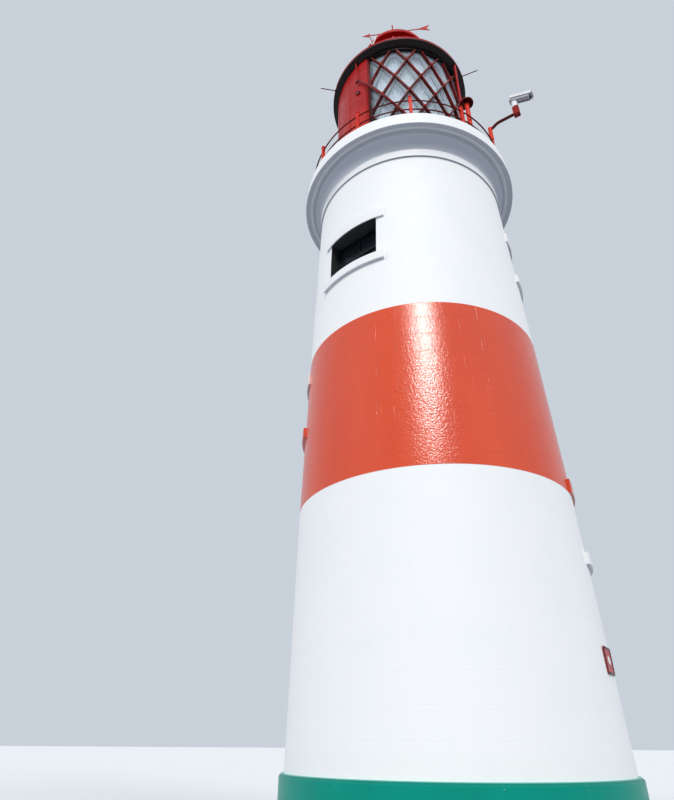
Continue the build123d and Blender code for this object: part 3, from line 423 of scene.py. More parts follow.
def makeBrass():
    f = Finish("opticBrass")
    tarnish = f.noise(7.0, 4.0, 0.6)
    dull = tarnish.scaled(0.35, 0.7, 0.0, 1.0)
    f.set(Base_Color=f.mix(dull, colour(0.62, 0.43, 0.17), colour(0.30, 0.19, 0.08)),
          Roughness=tarnish.scaled(0.3, 0.7, 0.22, 0.5), Metallic=1.0, Normal=f.bump(tarnish, 0.001, 0.3))
    return f.material


def makeEnamel(name, main, dirt, amount=0.35):
    f = Finish(name)
    patches = f.noise(9.0, 4.0, 0.6)
    f.body = f.mix(patches.scaled(0.45, 0.8, 0.0, amount), main, dirt)
    f.set(Base_Color=f.body, Roughness=patches.scaled(0.3, 0.7, 0.22, 0.42),
          Normal=f.bump(patches, 0.001, 0.3), Specular_IOR_Level=0.25)
    return f


weave = {"radius": 1.74, "thread": 0.009}


# White linen with a plain weave that follows the turn of the blind
def makeLinen():
    f = Finish("blindLinen")
    warp = f.fromNearest(f.turn() * weave["radius"], weave["thread"]) * 220
    weft = f.fromNearest(f.z, weave["thread"]) * 220
    dust = f.noise(2.0, 4.0, 0.6)
    dusty = dust.scaled(0.35, 0.75, 0.0, 1.0)
    f.set(Base_Color=f.mix(dusty, colour(0.90, 0.96, 1.0), colour(0.84, 0.91, 0.97)),
          Roughness=dust.scaled(0.3, 0.7, 0.75, 0.9), Normal=f.bump(warp * weft, 0.001, 0.5),
          Sheen_Weight=0.2, Specular_IOR_Level=0.2)
    return f.material


# Cut joints on a grid, in stone
def makeFlagstone():
    f = Finish("flagstone")
    joint = f.add("ShaderNodeTexBrick", {"offset": 0.5}, {
        "Vector": f.place, "Scale": 1.0, "Mortar Size": 0.006, "Brick Width": 0.9, "Row Height": 0.6}, "Fac")
    grain = f.noise(30.0, 4.0, 0.7)
    patches = f.noise(1.8, 3.0, 0.5)
    body = f.mix(patches, colour(0.34, 0.33, 0.31), colour(0.50, 0.49, 0.46))
    f.set(Base_Color=f.mix(joint, body, colour(0.16, 0.155, 0.15)),
          Roughness=grain.scaled(0.3, 0.7, 0.6, 0.85),
          Normal=f.bump((1 - joint) + grain * 0.4, 0.004, 0.6))
    return f.material


# Painted boards with a joint between each two
def makeBoards():
    f = Finish("doorBoards")
    boardWidth, awayFromZero = 0.1366, 5.0
    joint = f.fromNearest(f.across(tower["doorAzimuth"]) + awayFromZero, boardWidth).below(0.0035, 0.003)
    grain = f.noise(24.0, 4.0, 0.6, (1.0, 1.0, 0.06))
    body = f.mix(grain.scaled(0.3, 0.7, 0.0, 0.7), paint["green"], paint["greenDeep"])
    f.set(Base_Color=f.mix(joint * 0.7, body, paint["soot"]), Roughness=grain.scaled(0.3, 0.7, 0.28, 0.42),
          Normal=f.bump((1 - joint) + grain * 0.12, 0.006, 0.7),
          Specular_IOR_Level=0.35, Coat_Weight=0.2, Coat_Roughness=0.15)
    return f.material


finishes = {
    "wall": makeWallPaint(), "cornice": makeCornicePaint(), "plinth": makePlinthPaint(),
    "red": makeIronPaint("lanternRed", paint["red"], paint["redDeep"]).material,
    "crossing": makeIronPaint("crossingRed", paint["post"], paint["red"], 0.2).material,
    "boss": makeIronPaint("bossRed", colour(0.46, 0.028, 0.014), paint["redDeep"], 0.2).material,
    "bar": makeBarPaint(), "head": makeHeadPaint(),
    "darkIron": makeIronPaint("darkIron", paint["barHigh"], paint["barLow"], 0.5).material,
    # Rails darker than the posts: painted shade on the rails
    "rail": makeTwoTone("railPaint", paint["post"], paint["red"], paint["rail"], shadedRails),
    # The vent in the posts' red, its cap in the rails' dark red: painted shade under the cap
    "vent": makeTwoTone("ventPaint", paint["post"], paint["red"], paint["rail"],
                        lambda f: f.z.above(edges["ventHead"])),
    "dome": makeTwoTone("domeRed", paint["red"], paint["redDeep"], paint["white"], domeInside),
    "plate": makePlatePaint("plateRed", edges["plateInside"]),
    "baseWall": makePlatePaint("baseRed", edges["baseInside"]),
    "arm": makeTwoTone("armPaint", paint["rail"], paint["barLow"], paint["post"],
                       lambda f: f.radius().below(edges["socketRadius"]) * f.z.below(edges["socketTop"])),
    "bracket": makeTwoTone("bracketPaint", paint["barHigh"], paint["redDeep"], paint["white"],
                           lambda f: f.z.above(edges["bracketTop"])),
    "innerBar": makeInnerBarPaint(), "linen": makeLinen(),
    "lanternGlass": makeLanternGlass(), "windowGlass": makeRoomShadeGlass(),
    "opticGlass": makeOpticGlass(), "brass": makeBrass(),
    "enamel": makeEnamel("whiteEnamel", colour(0.86, 0.875, 0.88), colour(0.50, 0.49, 0.45)).material,
    "housing": makeHousingPaint(),
    "redEnamel": makeEnamel("redEnamel", colour(0.46, 0.026, 0.024), colour(0.24, 0.02, 0.018)).material,
    "frame": makeEnamel("frameBlack", colour(0.006, 0.007, 0.008), colour(0.014, 0.014, 0.014)).material,
    "joinery": makeEnamel("joineryWhite", colour(0.84, 0.85, 0.85), colour(0.5, 0.5, 0.46)).material,
    "boards": makeBoards(), "flagstone": makeFlagstone(),
}

# Which finish each node of the frame wears: the first whose start the node's name has
wears = [
    ("lower_wall", "wall"), ("band_wall", "wall"), ("upper_wall", "wall"), ("window_lintels", "wall"),
    ("window_sills", "wall"), ("cornice", "cornice"), ("plinth", "plinth"), ("window_frames", "frame"),
    ("window_panes", "windowGlass"), ("door_frame", "joinery"), ("door", "boards"),
    ("ground_floor", "flagstone"), ("signal_room_floor", "flagstone"), ("lantern_floor", "flagstone"),
    ("gallery_vent", "vent"), ("gallery", "rail"), ("lantern_lattice", "bar"), ("lantern_mullions", "bar"),
    ("lantern_inner_bars", "innerBar"), ("lantern_handrail", "darkIron"), ("lantern_glazing", "lanternGlass"),
    ("lantern_base", "baseWall"), ("lantern_blank_panels", "plate"), ("lantern_port", "darkIron"),
    ("lantern_head", "head"), ("lantern", "red"), ("dome", "dome"), ("ventilator", "red"), ("vane", "red"),
    ("rim_aerial", "enamel"), ("rim_rods", "darkIron"), ("optic_lens", "opticGlass"), ("optic", "brass"),
    ("camera_housing", "housing"), ("camera_shield", "enamel"), ("camera_bracket", "bracket"),
    ("camera_arm", "arm"), ("notice_plate", "redEnamel"),
]
for name, node in nodes.items():
    finish = next(f for start, f in wears if name.startswith(start))
    node.data.materials.clear()
    node.data.materials.append(finishes[finish])
print("finishes on the frame's nodes")


def deselectAll():
    for obj in bpy.context.selected_objects:
        obj.select_set(False)


# Select the parts of the mesh in edit mode that a test picks
def pick(obj, test, kind="FACE"):
    bpy.ops.mesh.select_mode(type=kind)
    bpy.ops.mesh.select_all(action="DESELECT")
    bpy.ops.object.mode_set(mode="OBJECT")
    for item in (obj.data.polygons if kind == "FACE" else obj.data.edges):
        item.select = test(item)
    bpy.ops.object.mode_set(mode="EDIT")


# A line drawn from (radius, level) points by extruding a vertex, then spun round the axis. A line that ends
# where it starts gives a ring, and is closed at its ends when it turns only part of the way.
def turned(name, line, steps=32, start=0.0, arc=360.0):
    deselectAll()
    bpy.ops.mesh.primitive_plane_add(size=0.001, location=(0, 0, 0))
    obj = bpy.context.object
    bpy.ops.object.mode_set(mode="EDIT")
    bpy.ops.mesh.select_mode(type="VERT")
    bpy.ops.mesh.select_all(action="SELECT")
    bpy.ops.mesh.merge(type="CENTER")
    points = [placeAt(start, radius, level) for radius, level in line]
    bpy.ops.transform.translate(value=points[0])
    for before, after in zip(points, points[1:]):
        bpy.ops.mesh.extrude_region_move(TRANSFORM_OT_translate={"value": after - before})
    bpy.ops.mesh.select_all(action="SELECT")
    bpy.ops.mesh.remove_doubles(threshold=0.00005)
    bpy.ops.mesh.select_all(action="SELECT")
    bpy.ops.mesh.spin(steps=steps, angle=radians(arc), center=(0, 0, 0), axis=(0, 0, 1))
    bpy.ops.mesh.select_all(action="SELECT")
    bpy.ops.mesh.remove_doubles(threshold=0.00005)
    if arc < 360:
        bpy.ops.mesh.select_all(action="SELECT")
        bpy.ops.mesh.fill_holes(sides=0)
    bpy.ops.mesh.select_all(action="SELECT")
    bpy.ops.mesh.normals_make_consistent(inside=False)
    bpy.ops.object.mode_set(mode="OBJECT")
    bpy.ops.object.shade_smooth_by_angle(angle=radians(35))
    obj.name = obj.data.name = name
    return obj


# A bar with eased edges: x is its width, y its height and z how far it stands out
def easedBar(width, height, depth, ease):
    deselectAll()
    bpy.ops.mesh.primitive_cube_add(size=1.0, location=(0, 0, depth / 2), scale=(width, height, depth))
    bpy.ops.object.transform_apply(location=True, rotation=False, scale=True)
    obj = bpy.context.object
    bpy.ops.object.mode_set(mode="EDIT")
    pick(obj, lambda edge: max(obj.data.vertices[v].co.z for v in edge.vertices) > depth / 2, "EDGE")
    bpy.ops.mesh.bevel(offset=ease, segments=2, affect="EDGES")
    bpy.ops.object.mode_set(mode="OBJECT")
    bpy.ops.object.shade_smooth_by_angle(angle=radians(35))
    return obj


def joinAll(pieces, name):
    deselectAll()
    for piece in pieces:
        piece.select_set(True)
    bpy.context.view_layer.objects.active = pieces[0]
    bpy.ops.object.join()
    pieces[0].name = pieces[0].data.name = name
    return pieces[0]


# Copies of a finished piece, each turned and moved by a matrix, joined under one name
def copyAndJoin(piece, matrices, name):
    copies = []
    for matrix in matrices:
        copy = piece.copy()
        copy.data = piece.data.copy()
        copy.data.transform(matrix)
        bpy.context.scene.collection.objects.link(copy)
        copies.append(copy)
    bpy.data.objects.remove(piece)
    return joinAll(copies, name)


# Gives a new piece its finish and its body
def settle(obj, finish):
    obj.data.materials.clear()
    obj.data.materials.append(finishes[finish])
    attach(obj, "root")
    print("made", obj.name, len(obj.data.polygons), "faces")
    return obj


# Stands a piece on the tower: its z points outwards at the azimuth and its y up
def facing(azimuth, radius, level):
    out, up = placeAt(azimuth, 1, 0), Vector((0, 0, 1))
    sides = Matrix((up.cross(out), up, out)).transposed().to_4x4()
    return Matrix.Translation(placeAt(azimuth, radius, level)) @ sides


# Stands a piece upright, its x pointing outwards at the azimuth
def upright(azimuth, radius, level):
    return Matrix.Translation(placeAt(azimuth, radius, level)) @ Matrix.Rotation(radians(azimuth - 90), 4, "Z")


def shift(x, y, z=0):
    return Matrix.Translation((x, y, z))


boltSize = {"washer": 0.017, "head": 0.010, "lift": 0.004, "rise": 0.012}


# Washer and dome head of a bolt, scaled for smaller ones
def boltPiece(scale=1.0):
    washer, head, lift, rise = (boltSize[key] * scale for key in ("washer", "head", "lift", "rise"))
    line = [(0, 0), (washer, 0), (washer, lift), (head, lift), (head, lift + rise * 0.5),
            (head * 0.6, lift + rise), (0, lift + rise)]
    return turned("bolt", line, 8)


postTurns = [tower["firstPost"] + 360 / tower["posts"] * i for i in range(tower["posts"])]
seamTurns = [tower["glazingStart"] + tower["bayArc"] * i for i in range(tower["allBays"])]
letIn = 0.001      # how far a fitting is let into what carries it

# Round bosses where the lantern's bars cross
boss = {"radius": 0.048, "face": 0.022, "button": 0.020, "buttonSide": 0.014, "buttonTop": 0.018, "sunk": 0.004}
outer, face, button = boss["radius"], boss["face"], boss["button"]
bossLine = [(0, 0), (outer, 0), (outer, face * 0.7), (outer * 0.85, face), (button, face),
            (button, face + boss["buttonSide"]), (button * 0.7, face + boss["buttonTop"]),
            (0, face + boss["buttonTop"])]
bossPiece = turned("boss", bossLine, 14)
bossPlaces = []
for row in range(1, 5):
    halfBay = 0 if row % 2 == 0 else 0.5
    for column in range(tower["glazedBays"] + 1):
        turn = (column + halfBay) * tower["bayArc"]
        if 1 < turn < tower["glazedBays"] * tower["bayArc"] - 1:
            bossPlaces.append(facing(tower["glazingStart"] + turn, tower["barFace"] - boss["sunk"],
                                     tower["latticeCrown"] - row * tower["halfRow"]))
settle(copyAndJoin(bossPiece, bossPlaces, "lantern_bosses"), "boss")

# Ribs over the seams of the dome, and a bead round its lower course
rib = {"radius": 0.034, "segments": 96, "proud": 0.006, "arches": 4, "tuck": 0.01}
deselectAll()
bpy.ops.mesh.primitive_torus_add(major_radius=tower["domeRadius"] + rib["proud"], minor_radius=rib["radius"],
                                 major_segments=rib["segments"], minor_segments=10, rotation=(pi / 2, 0, 0))
ribPiece = bpy.context.object
bpy.ops.object.transform_apply(location=False, rotation=True, scale=False)
crownShare = sqrt(1 - (tower["collarFoot"] / tower["domeRadius"]) ** 2)
bpy.ops.object.mode_set(mode="EDIT")
for level, keepAbove in ((0.0, True), (crownShare * tower["domeRadius"] - rib["tuck"], False)):
    bpy.ops.mesh.select_all(action="SELECT")
    bpy.ops.mesh.bisect(plane_co=(0, 0, level), plane_no=(0, 0, 1), clear_inner=keepAbove,
                        clear_outer=not keepAbove, use_fill=True)
bpy.ops.object.mode_set(mode="OBJECT")
bpy.ops.object.shade_smooth_by_angle(angle=radians(35))
flatten = Matrix.Diagonal((1, 1, tower["domeRise"] / tower["domeRadius"], 1))
ribTurns = [shift(0, 0, tower["headTop"]) @ flatten @ Matrix.Rotation(radians(180 / rib["arches"] * i), 4, "Z")
            for i in range(rib["arches"])]
settle(copyAndJoin(ribPiece, ribTurns, "dome_ribs"), "red")

beadRadius = tower["domeRadius"] * sqrt(1 - (tower["courseRise"] / tower["domeRise"]) ** 2)
beadLevel = tower["headTop"] + tower["courseRise"]
beadSection = [(-0.010, -0.022), (0.018, -0.022), (0.026, 0.0), (0.012, 0.022), (-0.030, 0.022),
               (-0.010, -0.022)]
beadLine = [(beadRadius + out, beadLevel + up) for out, up in beadSection]
settle(turned("dome_bead", beadLine, 96), "red")

# Railing: a cap on each post, collars where the rails pass through, bolts in the feet
cap = {"half": 0.050, "lip": 0.014, "rise": 0.020}
capPiece = easedBar(2 * cap["half"], 2 * cap["half"], cap["lip"] + cap["rise"], cap["rise"] * 0.9)
capPlaces = [upright(turn, tower["postRing"], tower["deck"] + tower["postHeight"])
             for i, turn in enumerate(postTurns) if i != tower["cameraPost"]]
settle(copyAndJoin(capPiece, capPlaces, "railing_caps"), "crossing")
collar = {"radius": 0.034, "width": 0.022, "postHalf": 0.0375}
collarLine = [(0, 0), (collar["radius"], 0), (collar["radius"], collar["width"] * 0.5),
              (collar["radius"] * 0.75, collar["width"]), (0, collar["width"])]
collarPiece = turned("collar", collarLine, 14)
collarPlaces = []
for turn in postTurns:
    for height in tower["railHeights"]:
        for side in (-1, 1):
            place = Matrix.Translation(placeAt(turn, tower["postRing"], tower["deck"] + height))
            across = Matrix.Rotation(radians(turn), 4, "Z") @ Matrix.Rotation(side * pi / 2, 4, "Y")
            collarPlaces.append(place @ across @ shift(0, 0, collar["postHalf"] - letIn))
settle(copyAndJoin(collarPiece, collarPlaces, "railing_collars"), "crossing")
footBolt = {"spread": 0.055, "level": tower["deck"] + 0.03}
vent = {"azimuth": 44.3, "radius": 2.66, "flange": 0.024, "boltRing": 0.080}
boltPlaces = []
for turn in postTurns:
    for dx, dy in ((1, 1), (1, -1), (-1, 1), (-1, -1)):
        boltPlaces.append(upright(turn, tower["postRing"], footBolt["level"] - letIn)
                          @ shift(dx * footBolt["spread"], dy * footBolt["spread"]))
for quarter in range(4):
    boltPlaces.append(upright(vent["azimuth"], vent["radius"], tower["deck"] + vent["flange"])
                      @ Matrix.Rotation(radians(45 + 90 * quarter), 4, "Z") @ shift(vent["boltRing"], 0))
settle(copyAndJoin(boltPiece(), boltPlaces, "gallery_bolts"), "crossing")

# Cover straps over the seams of the lantern's base and blank panels, with their bolts
strap = {"baseWidth": 0.075, "panelWidth": 0.055, "thickness": 0.010, "ease": 0.004, "pitch": 0.16,
         "baseGap": 0.01, "panelGap": 0.03, "baseBolts": (0.08, 0.06), "panelBolts": (0.10, 0.08)}
baseHeight = tower["curbFoot"] - tower["deck"] - 2 * strap["baseGap"]
basePiece = easedBar(strap["baseWidth"], baseHeight, strap["thickness"], strap["ease"])
baseMiddle = tower["deck"] + strap["baseGap"] + baseHeight / 2
basePlaces = [facing(turn, tower["baseRadius"] - letIn, baseMiddle) for turn in seamTurns]
settle(copyAndJoin(basePiece, basePlaces, "base_straps"), "red")
panelTurns = seamTurns[tower["glazedBays"] + 1:]
panelHeight = tower["glazingHead"] - tower["glazingFoot"] - 2 * strap["panelGap"]
panelMiddle = (tower["glazingHead"] + tower["glazingFoot"]) / 2
panelPiece = easedBar(strap["panelWidth"], panelHeight, strap["thickness"], strap["ease"])
panelPlaces = [facing(turn, tower["blankRadius"] - letIn, panelMiddle) for turn in panelTurns]
settle(copyAndJoin(panelPiece, panelPlaces, "panel_straps"), "red")
seamBolts = []
for turns, radius, foot, head, (fromFoot, fromHead) in (
        (seamTurns, tower["baseRadius"], tower["deck"], tower["curbFoot"], strap["baseBolts"]),
        (panelTurns, tower["blankRadius"], tower["glazingFoot"], tower["glazingHead"], strap["panelBolts"])):
    low, high = foot + fromFoot, head - fromHead
    count = round((high - low) / strap["pitch"])
    seamBolts += [facing(turn, radius + strap["thickness"] - 2 * letIn, low + (high - low) * i / count)
                  for turn in turns for i in range(count + 1)]
settle(copyAndJoin(boltPiece(0.9), seamBolts, "seam_bolts"), "red")

# Two hoops round the lantern's base
hoop = {"height": 0.045, "proud": 0.014, "sunk": 0.004, "ease": 0.008}
for name, level in (("base_hoop_low", tower["deck"] + 0.002),
                    ("base_hoop_high", tower["curbFoot"] - hoop["height"] - 0.004)):
    inner, outer = tower["baseRadius"] - hoop["sunk"], tower["baseRadius"] + hoop["proud"]
    top = level + hoop["height"]
    hoopLine = [(inner, level), (outer, level), (outer, level + hoop["height"] * 0.7),
                (outer - hoop["ease"], top), (inner, top), (inner, level)]
    settle(turned(name, hoopLine, 96), "red")

# Stubs that hold the handrail off the bars
stub = {"radius": 0.016, "foot": 0.032, "footSide": 0.010, "footTop": 0.016, "length": 0.062, "sunk": 0.004,
        "bend": -32.5, "end": 5.5, "high": 18.65, "low": 16.12, "shares": (0.22, 0.42, 0.62, 0.82)}
stubLine = [(0, 0), (stub["foot"], 0), (stub["foot"], stub["footSide"]), (stub["radius"], stub["footTop"]),
            (stub["radius"], stub["length"]), (0, stub["length"])]
stubPiece = turned("stub", stubLine, 12)
stubPlaces = []
for share in stub["shares"]:
    turn = stub["bend"] + (stub["end"] - stub["bend"]) * share
    level = stub["high"] + (stub["low"] - stub["high"]) * share
    stubPlaces.append(facing(turn, tower["barFace"] - stub["sunk"], level))
settle(copyAndJoin(stubPiece, stubPlaces, "handrail_stubs"), "darkIron")

# Glass and bolts of the round port
port = {"azimuth": -35.0, "level": 18.15, "radius": 0.046, "face": 2.045, "depth": 0.040,
        "glassSide": 0.010, "glassShoulder": 0.018, "glassTop": 0.022, "bolts": 6, "boltRing": 0.062}
glassLine = [(0, 0), (port["radius"], 0), (port["radius"], port["glassSide"]),
             (port["radius"] * 0.7, port["glassShoulder"]), (0, port["glassTop"])]
glassPlace = facing(port["azimuth"], port["face"] - 2 * letIn, port["level"])
settle(copyAndJoin(turned("portGlass", glassLine, 24), [glassPlace], "port_glass"), "enamel")
portFront = facing(port["azimuth"], port["face"] + port["depth"] - 2 * letIn, port["level"])
portBolts = [portFront @ Matrix.Rotation(2 * pi * i / port["bolts"], 4, "Z") @ shift(port["boltRing"], 0)
             for i in range(port["bolts"])]
settle(copyAndJoin(boltPiece(0.5), portBolts, "port_bolts"), "darkIron")

# Clips that hold the downpipe to the lantern
clip = {"azimuth": 58.5, "pipe": 2.1613, "inner": 0.034, "outer": 0.046, "half": 0.020,
        "levels": (15.45, 17.2, 18.8)}
clipLine = [(clip["inner"], -clip["half"]), (clip["outer"], -clip["half"]), (clip["outer"], clip["half"]),
            (clip["inner"], clip["half"]), (clip["inner"], -clip["half"])]
clipPlaces = [upright(clip["azimuth"], clip["pipe"], level) for level in clip["levels"]]
settle(copyAndJoin(turned("clip", clipLine, 20), clipPlaces, "pipe_clips"), "red")

print("iron fittings made")

# Blinds drawn round the sunny side of the lantern, on a rail that hangs from the head
blind = {"radius": 1.745, "start": -23.8, "arc": 134.0, "top": 19.53, "foot": 16.35, "folds": 34, "sway": 0.017,
         "columns": 544, "rows": 24, "thickness": 0.0016, "rail": 0.011, "hooks": 8}
deselectAll()
bpy.ops.mesh.primitive_grid_add(x_subdivisions=blind["columns"], y_subdivisions=blind["rows"], size=1.0,
                                location=(0, 0, 0))
linen = bpy.context.object
linen.name = linen.data.name = "lantern_blinds"
for vertex in linen.data.vertices:
    across, down = vertex.co.x + 0.5, 0.5 - vertex.co.y
    wave = across * blind["folds"] * 2 * pi
    loose = 0.55 + 0.45 * down
    sway = blind["sway"] * loose * (sin(wave + 0.6 * sin(across * 19)) + 0.25 * sin(wave * 0.5 + 3 * down))
    azimuth = blind["start"] + blind["arc"] * across
    vertex.co = placeAt(azimuth, blind["radius"] + sway, blind["top"] + (blind["foot"] - blind["top"]) * down)
bpy.ops.object.mode_set(mode="EDIT")
bpy.ops.mesh.select_all(action="SELECT")
bpy.ops.mesh.normals_make_consistent(inside=False)
bpy.ops.object.mode_set(mode="OBJECT")
thicken = linen.modifiers.new("thicken", "SOLIDIFY")
thicken.thickness, thicken.offset = blind["thickness"], 0.0
bpy.ops.object.modifier_apply(modifier="thicken")
bpy.ops.object.shade_smooth()
settle(linen, "linen")
railLevel = blind["top"] + blind["rail"]
railLine = [(blind["radius"] + blind["rail"] * cos(radians(60 * i)),
             railLevel + blind["rail"] * sin(radians(60 * i))) for i in range(7)]
settle(turned("blind_rail", railLine, 72, blind["start"], blind["arc"]), "brass")
hanger = {"half": 0.009, "reach": 1.902, "level": 19.66, "ease": 0.003}
thick, drop = 2 * hanger["half"], hanger["level"] - railLevel
armPiece = easedBar(thick, thick, hanger["reach"] - blind["radius"] + hanger["half"], hanger["ease"])
dropPiece = easedBar(thick, drop + hanger["half"], thick, hanger["ease"])
dropPiece.data.transform(shift(0, -drop / 2))
hangerTurns = [blind["start"] + blind["arc"] * (i + 0.5) / blind["hooks"] for i in range(blind["hooks"])]
hangerPlaces = [facing(turn, blind["radius"] - hanger["half"], hanger["level"]) for turn in hangerTurns]
hangerPiece = joinAll([armPiece, dropPiece], "hanger")
settle(copyAndJoin(hangerPiece, hangerPlaces, "blind_hangers"), "brass")

# Sash bars in the stair windows and the signal window, each given as azimuth, width, sill and height
sash = {"bar": 0.034, "rail": 0.055, "depth": 0.040, "ease": 0.006, "frame": 0.13, "behindWall": 0.364,
        "openings": ((78.0, 0.56, 4.2, 1.15), (-80.0, 0.56, 7.21, 1.15), (79.0, 0.56, 10.94, 1.15),
                     (signal["azimuth"], 1.4, 10.65, 1.17))}
sashPieces = []
for azimuth, width, sill, height in sash["openings"]:
    middle = sill + height / 2
    for barWidth, barHeight in ((sash["bar"], height - sash["frame"]), (width - sash["frame"], sash["rail"])):
        piece = easedBar(barWidth, barHeight, sash["depth"], sash["ease"])
        piece.data.transform(facing(azimuth, wallRadius(middle) - sash["behindWall"], middle))
        sashPieces.append(piece)
settle(joinAll(sashPieces, "sash_bars"), "frame")

# Strap hinges, a ring handle and its plate on the entrance door
door = {"face": 2.53, "edge": 0.41, "hinge": 0.62, "hingeHeight": 0.055, "hingeDepth": 0.009, "ease": 0.003,
        "levels": (0.36, 1.72), "bolts": 5, "firstBolt": 0.06, "boltPitch": 0.12, "boltSeat": 0.006,
        "handleLevel": 1.02, "handleInset": 0.10, "ringRadius": 0.055, "ringIron": 0.007, "ringDrop": 0.050,
        "ringOut": 0.022}


# A place on the face of the door
def onDoor(across, level, out=0.0):
    return facing(tower["doorAzimuth"], door["face"] + out, level) @ shift(across, 0)


hingePiece = easedBar(door["hinge"], door["hingeHeight"], door["hingeDepth"], door["ease"])
hingePlaces = [onDoor(-door["edge"] + door["hinge"] / 2, level, -letIn) for level in door["levels"]]
settle(copyAndJoin(hingePiece, hingePlaces, "door_hinges"), "frame")
hingeBolts = [onDoor(-door["edge"] + door["firstBolt"] + door["boltPitch"] * i, level, door["boltSeat"])
              for level in door["levels"] for i in range(door["bolts"])]
settle(copyAndJoin(boltPiece(0.7), hingeBolts, "door_bolts"), "frame")
handleAcross = door["edge"] - door["handleInset"]
plateLine = [(0, 0), (0.045, 0), (0.045, 0.004), (0.036, 0.008), (0.014, 0.008), (0.010, 0.030), (0, 0.034)]
settle(copyAndJoin(turned("handlePlate", plateLine, 24), [onDoor(handleAcross, door["handleLevel"], -letIn)],
                   "door_handle_plate"), "brass")
deselectAll()
bpy.ops.mesh.primitive_torus_add(major_radius=door["ringRadius"], minor_radius=door["ringIron"],
                                 major_segments=32, minor_segments=8,
                                 location=(0, -door["ringDrop"], door["ringOut"]))
ring = bpy.context.object
bpy.ops.object.transform_apply(location=True, rotation=False, scale=False)
bpy.ops.object.shade_smooth()
settle(copyAndJoin(ring, [onDoor(handleAcross, door["handleLevel"])], "door_handle"), "brass")

# Raised border and plain disc of the plate on the shaft
notice = {"azimuth": 66.0, "level": 2.395, "face": 2.881859, "halfWidth": 0.23, "halfHeight": 0.205,
          "bar": 0.030, "lift": 0.008, "ease": 0.003, "lap": 0.001, "disc": 0.068, "rim": 0.008, "dish": 0.006}
noticePlace = facing(notice["azimuth"], notice["face"] - letIn, notice["level"])
sideOut, topUp = notice["halfWidth"] - notice["bar"] / 2, notice["halfHeight"] - notice["bar"] / 2
fullWidth, sideHeight = 2 * notice["halfWidth"], 2 * (notice["halfHeight"] - notice["bar"] + notice["lap"])
border = []
for across, up, width, height in (
        (0, topUp, fullWidth, notice["bar"]), (0, -topUp, fullWidth, notice["bar"]),
        (-sideOut, 0, notice["bar"], sideHeight), (sideOut, 0, notice["bar"], sideHeight)):
    bar = easedBar(width, height, notice["lift"], notice["ease"])
    bar.data.transform(noticePlace @ shift(across, up))
    border.append(bar)
settle(joinAll(border, "notice_border"), "frame")
disc, rim, dish = notice["disc"], notice["rim"], notice["dish"]
discLine = [(0, 0), (disc, 0), (disc, rim / 2), (disc * 0.94, rim), (disc * 0.80, rim), (disc * 0.76, dish),
            (0, dish)]
settle(copyAndJoin(turned("disc", discLine, 40), [noticePlace], "notice_disc"), "enamel")
print("fittings of the doorway, windows and blinds made")

# Floor and backdrop: pale to the camera and in reflections, darker in the light that they throw on the tower
deselectAll()
bpy.ops.mesh.primitive_plane_add(size=600.0, location=(0, 0, 0))
floor = bpy.context.object
floor.name = floor.data.name = "studio_floor"
studio = {"floor": colour(0.60, 0.62, 0.64), "floorBounce": colour(0.145, 0.158, 0.195),
          "backdrop": colour(0.58, 0.635, 0.70), "sky": colour(0.88, 0.94, 1.0), "skyStrength": 0.53}
material = bpy.data.materials.new("studioFloor")
material.use_nodes = True
board = Board(material.node_tree)


# 1 for what the camera sees, straight or by glass and gloss
def seenShare(board):
    rays = [board.add("ShaderNodeLightPath", {}, {}, kind)
            for kind in ("Is Camera Ray", "Is Glossy Ray", "Is Transmission Ray")]
    return rays[0].maths("MAXIMUM", rays[0].maths("MAXIMUM", rays[0], rays[1]), rays[2])


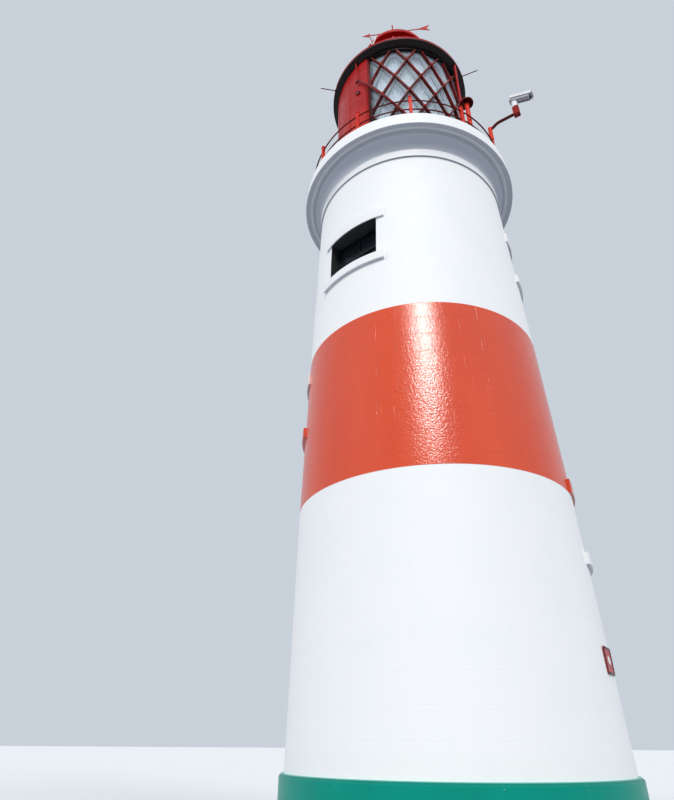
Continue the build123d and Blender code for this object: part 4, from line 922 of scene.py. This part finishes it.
bounce = board.add("ShaderNodeBsdfDiffuse", {}, {"Color": studio["floorBounce"]})
shown = board.add("ShaderNodeBsdfDiffuse", {}, {"Color": studio["floor"]})
floorShader = board.add("ShaderNodeMixShader", {}, {0: seenShare(board), 1: bounce, 2: shown})
board.add("ShaderNodeOutputMaterial", {}, {0: floorShader})
floor.data.materials.append(material)
floor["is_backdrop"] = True

world = bpy.data.worlds.new("studioWorld")
bpy.context.scene.world = world
world.use_nodes = True
board = Board(world.node_tree)
sky = board.add("ShaderNodeBackground", {}, {0: studio["sky"], 1: studio["skyStrength"]})
backdrop = board.add("ShaderNodeBackground", {}, {0: studio["backdrop"], 1: 1.0})
worldShader = board.add("ShaderNodeMixShader", {}, {0: seenShare(board), 1: sky, 2: backdrop})
board.add("ShaderNodeOutputWorld", {}, {0: worldShader})

# Azimuth, elevation, strength, angle and tint of each sun
lamps = {
    "key": (6.0, 42.0, 1.42, 5.0, (1.0, 0.98, 0.945)),
    "leftFill": (-62.0, 30.0, 1.34, 40.0, (0.96, 0.98, 1.0)),
    "rightFill": (60.0, 35.0, 1.18, 40.0, (0.95, 0.975, 1.0)),
    "backFill": (190.0, 40.0, 1.0, 40.0, (0.95, 0.97, 1.0)),
}
for name, (azimuth, elevation, strength, angle, tint) in lamps.items():
    sun = bpy.data.lights.new(name, "SUN")
    sun.energy, sun.angle, sun.color = strength, radians(angle), tint
    lampObject = bpy.data.objects.new(name, sun)
    lampObject.visible_glossy = name == "key"      # the fills light the paint and leave no highlights on it
    bpy.context.scene.collection.objects.link(lampObject)
    towardsSun = placeAt(azimuth, cos(radians(elevation)), sin(radians(elevation)))
    lampObject.rotation_euler = towardsSun.to_track_quat("Z", "Y").to_euler()

eye = {"place": (0.0, -12.0, 1.2), "turn": 9.75, "tilt": 30.71, "roll": 0.34, "lens": 26.145}
cameraData = bpy.data.cameras.new("photoView")
cameraData.lens, cameraData.sensor_width = eye["lens"], 36.0
cameraData.clip_end = 2000.0
camera = bpy.data.objects.new("photoView", cameraData)
bpy.context.scene.collection.objects.link(camera)
camera.matrix_world = Matrix.Translation(eye["place"]) @ Matrix.Rotation(radians(eye["turn"]), 4, "Z") \
    @ Matrix.Rotation(radians(90 + eye["tilt"]), 4, "X") @ Matrix.Rotation(radians(eye["roll"]), 4, "Z")
bpy.context.scene.camera = camera
bpy.context.scene.view_settings.view_transform = "Standard"
print("stage, light and camera")

low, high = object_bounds()
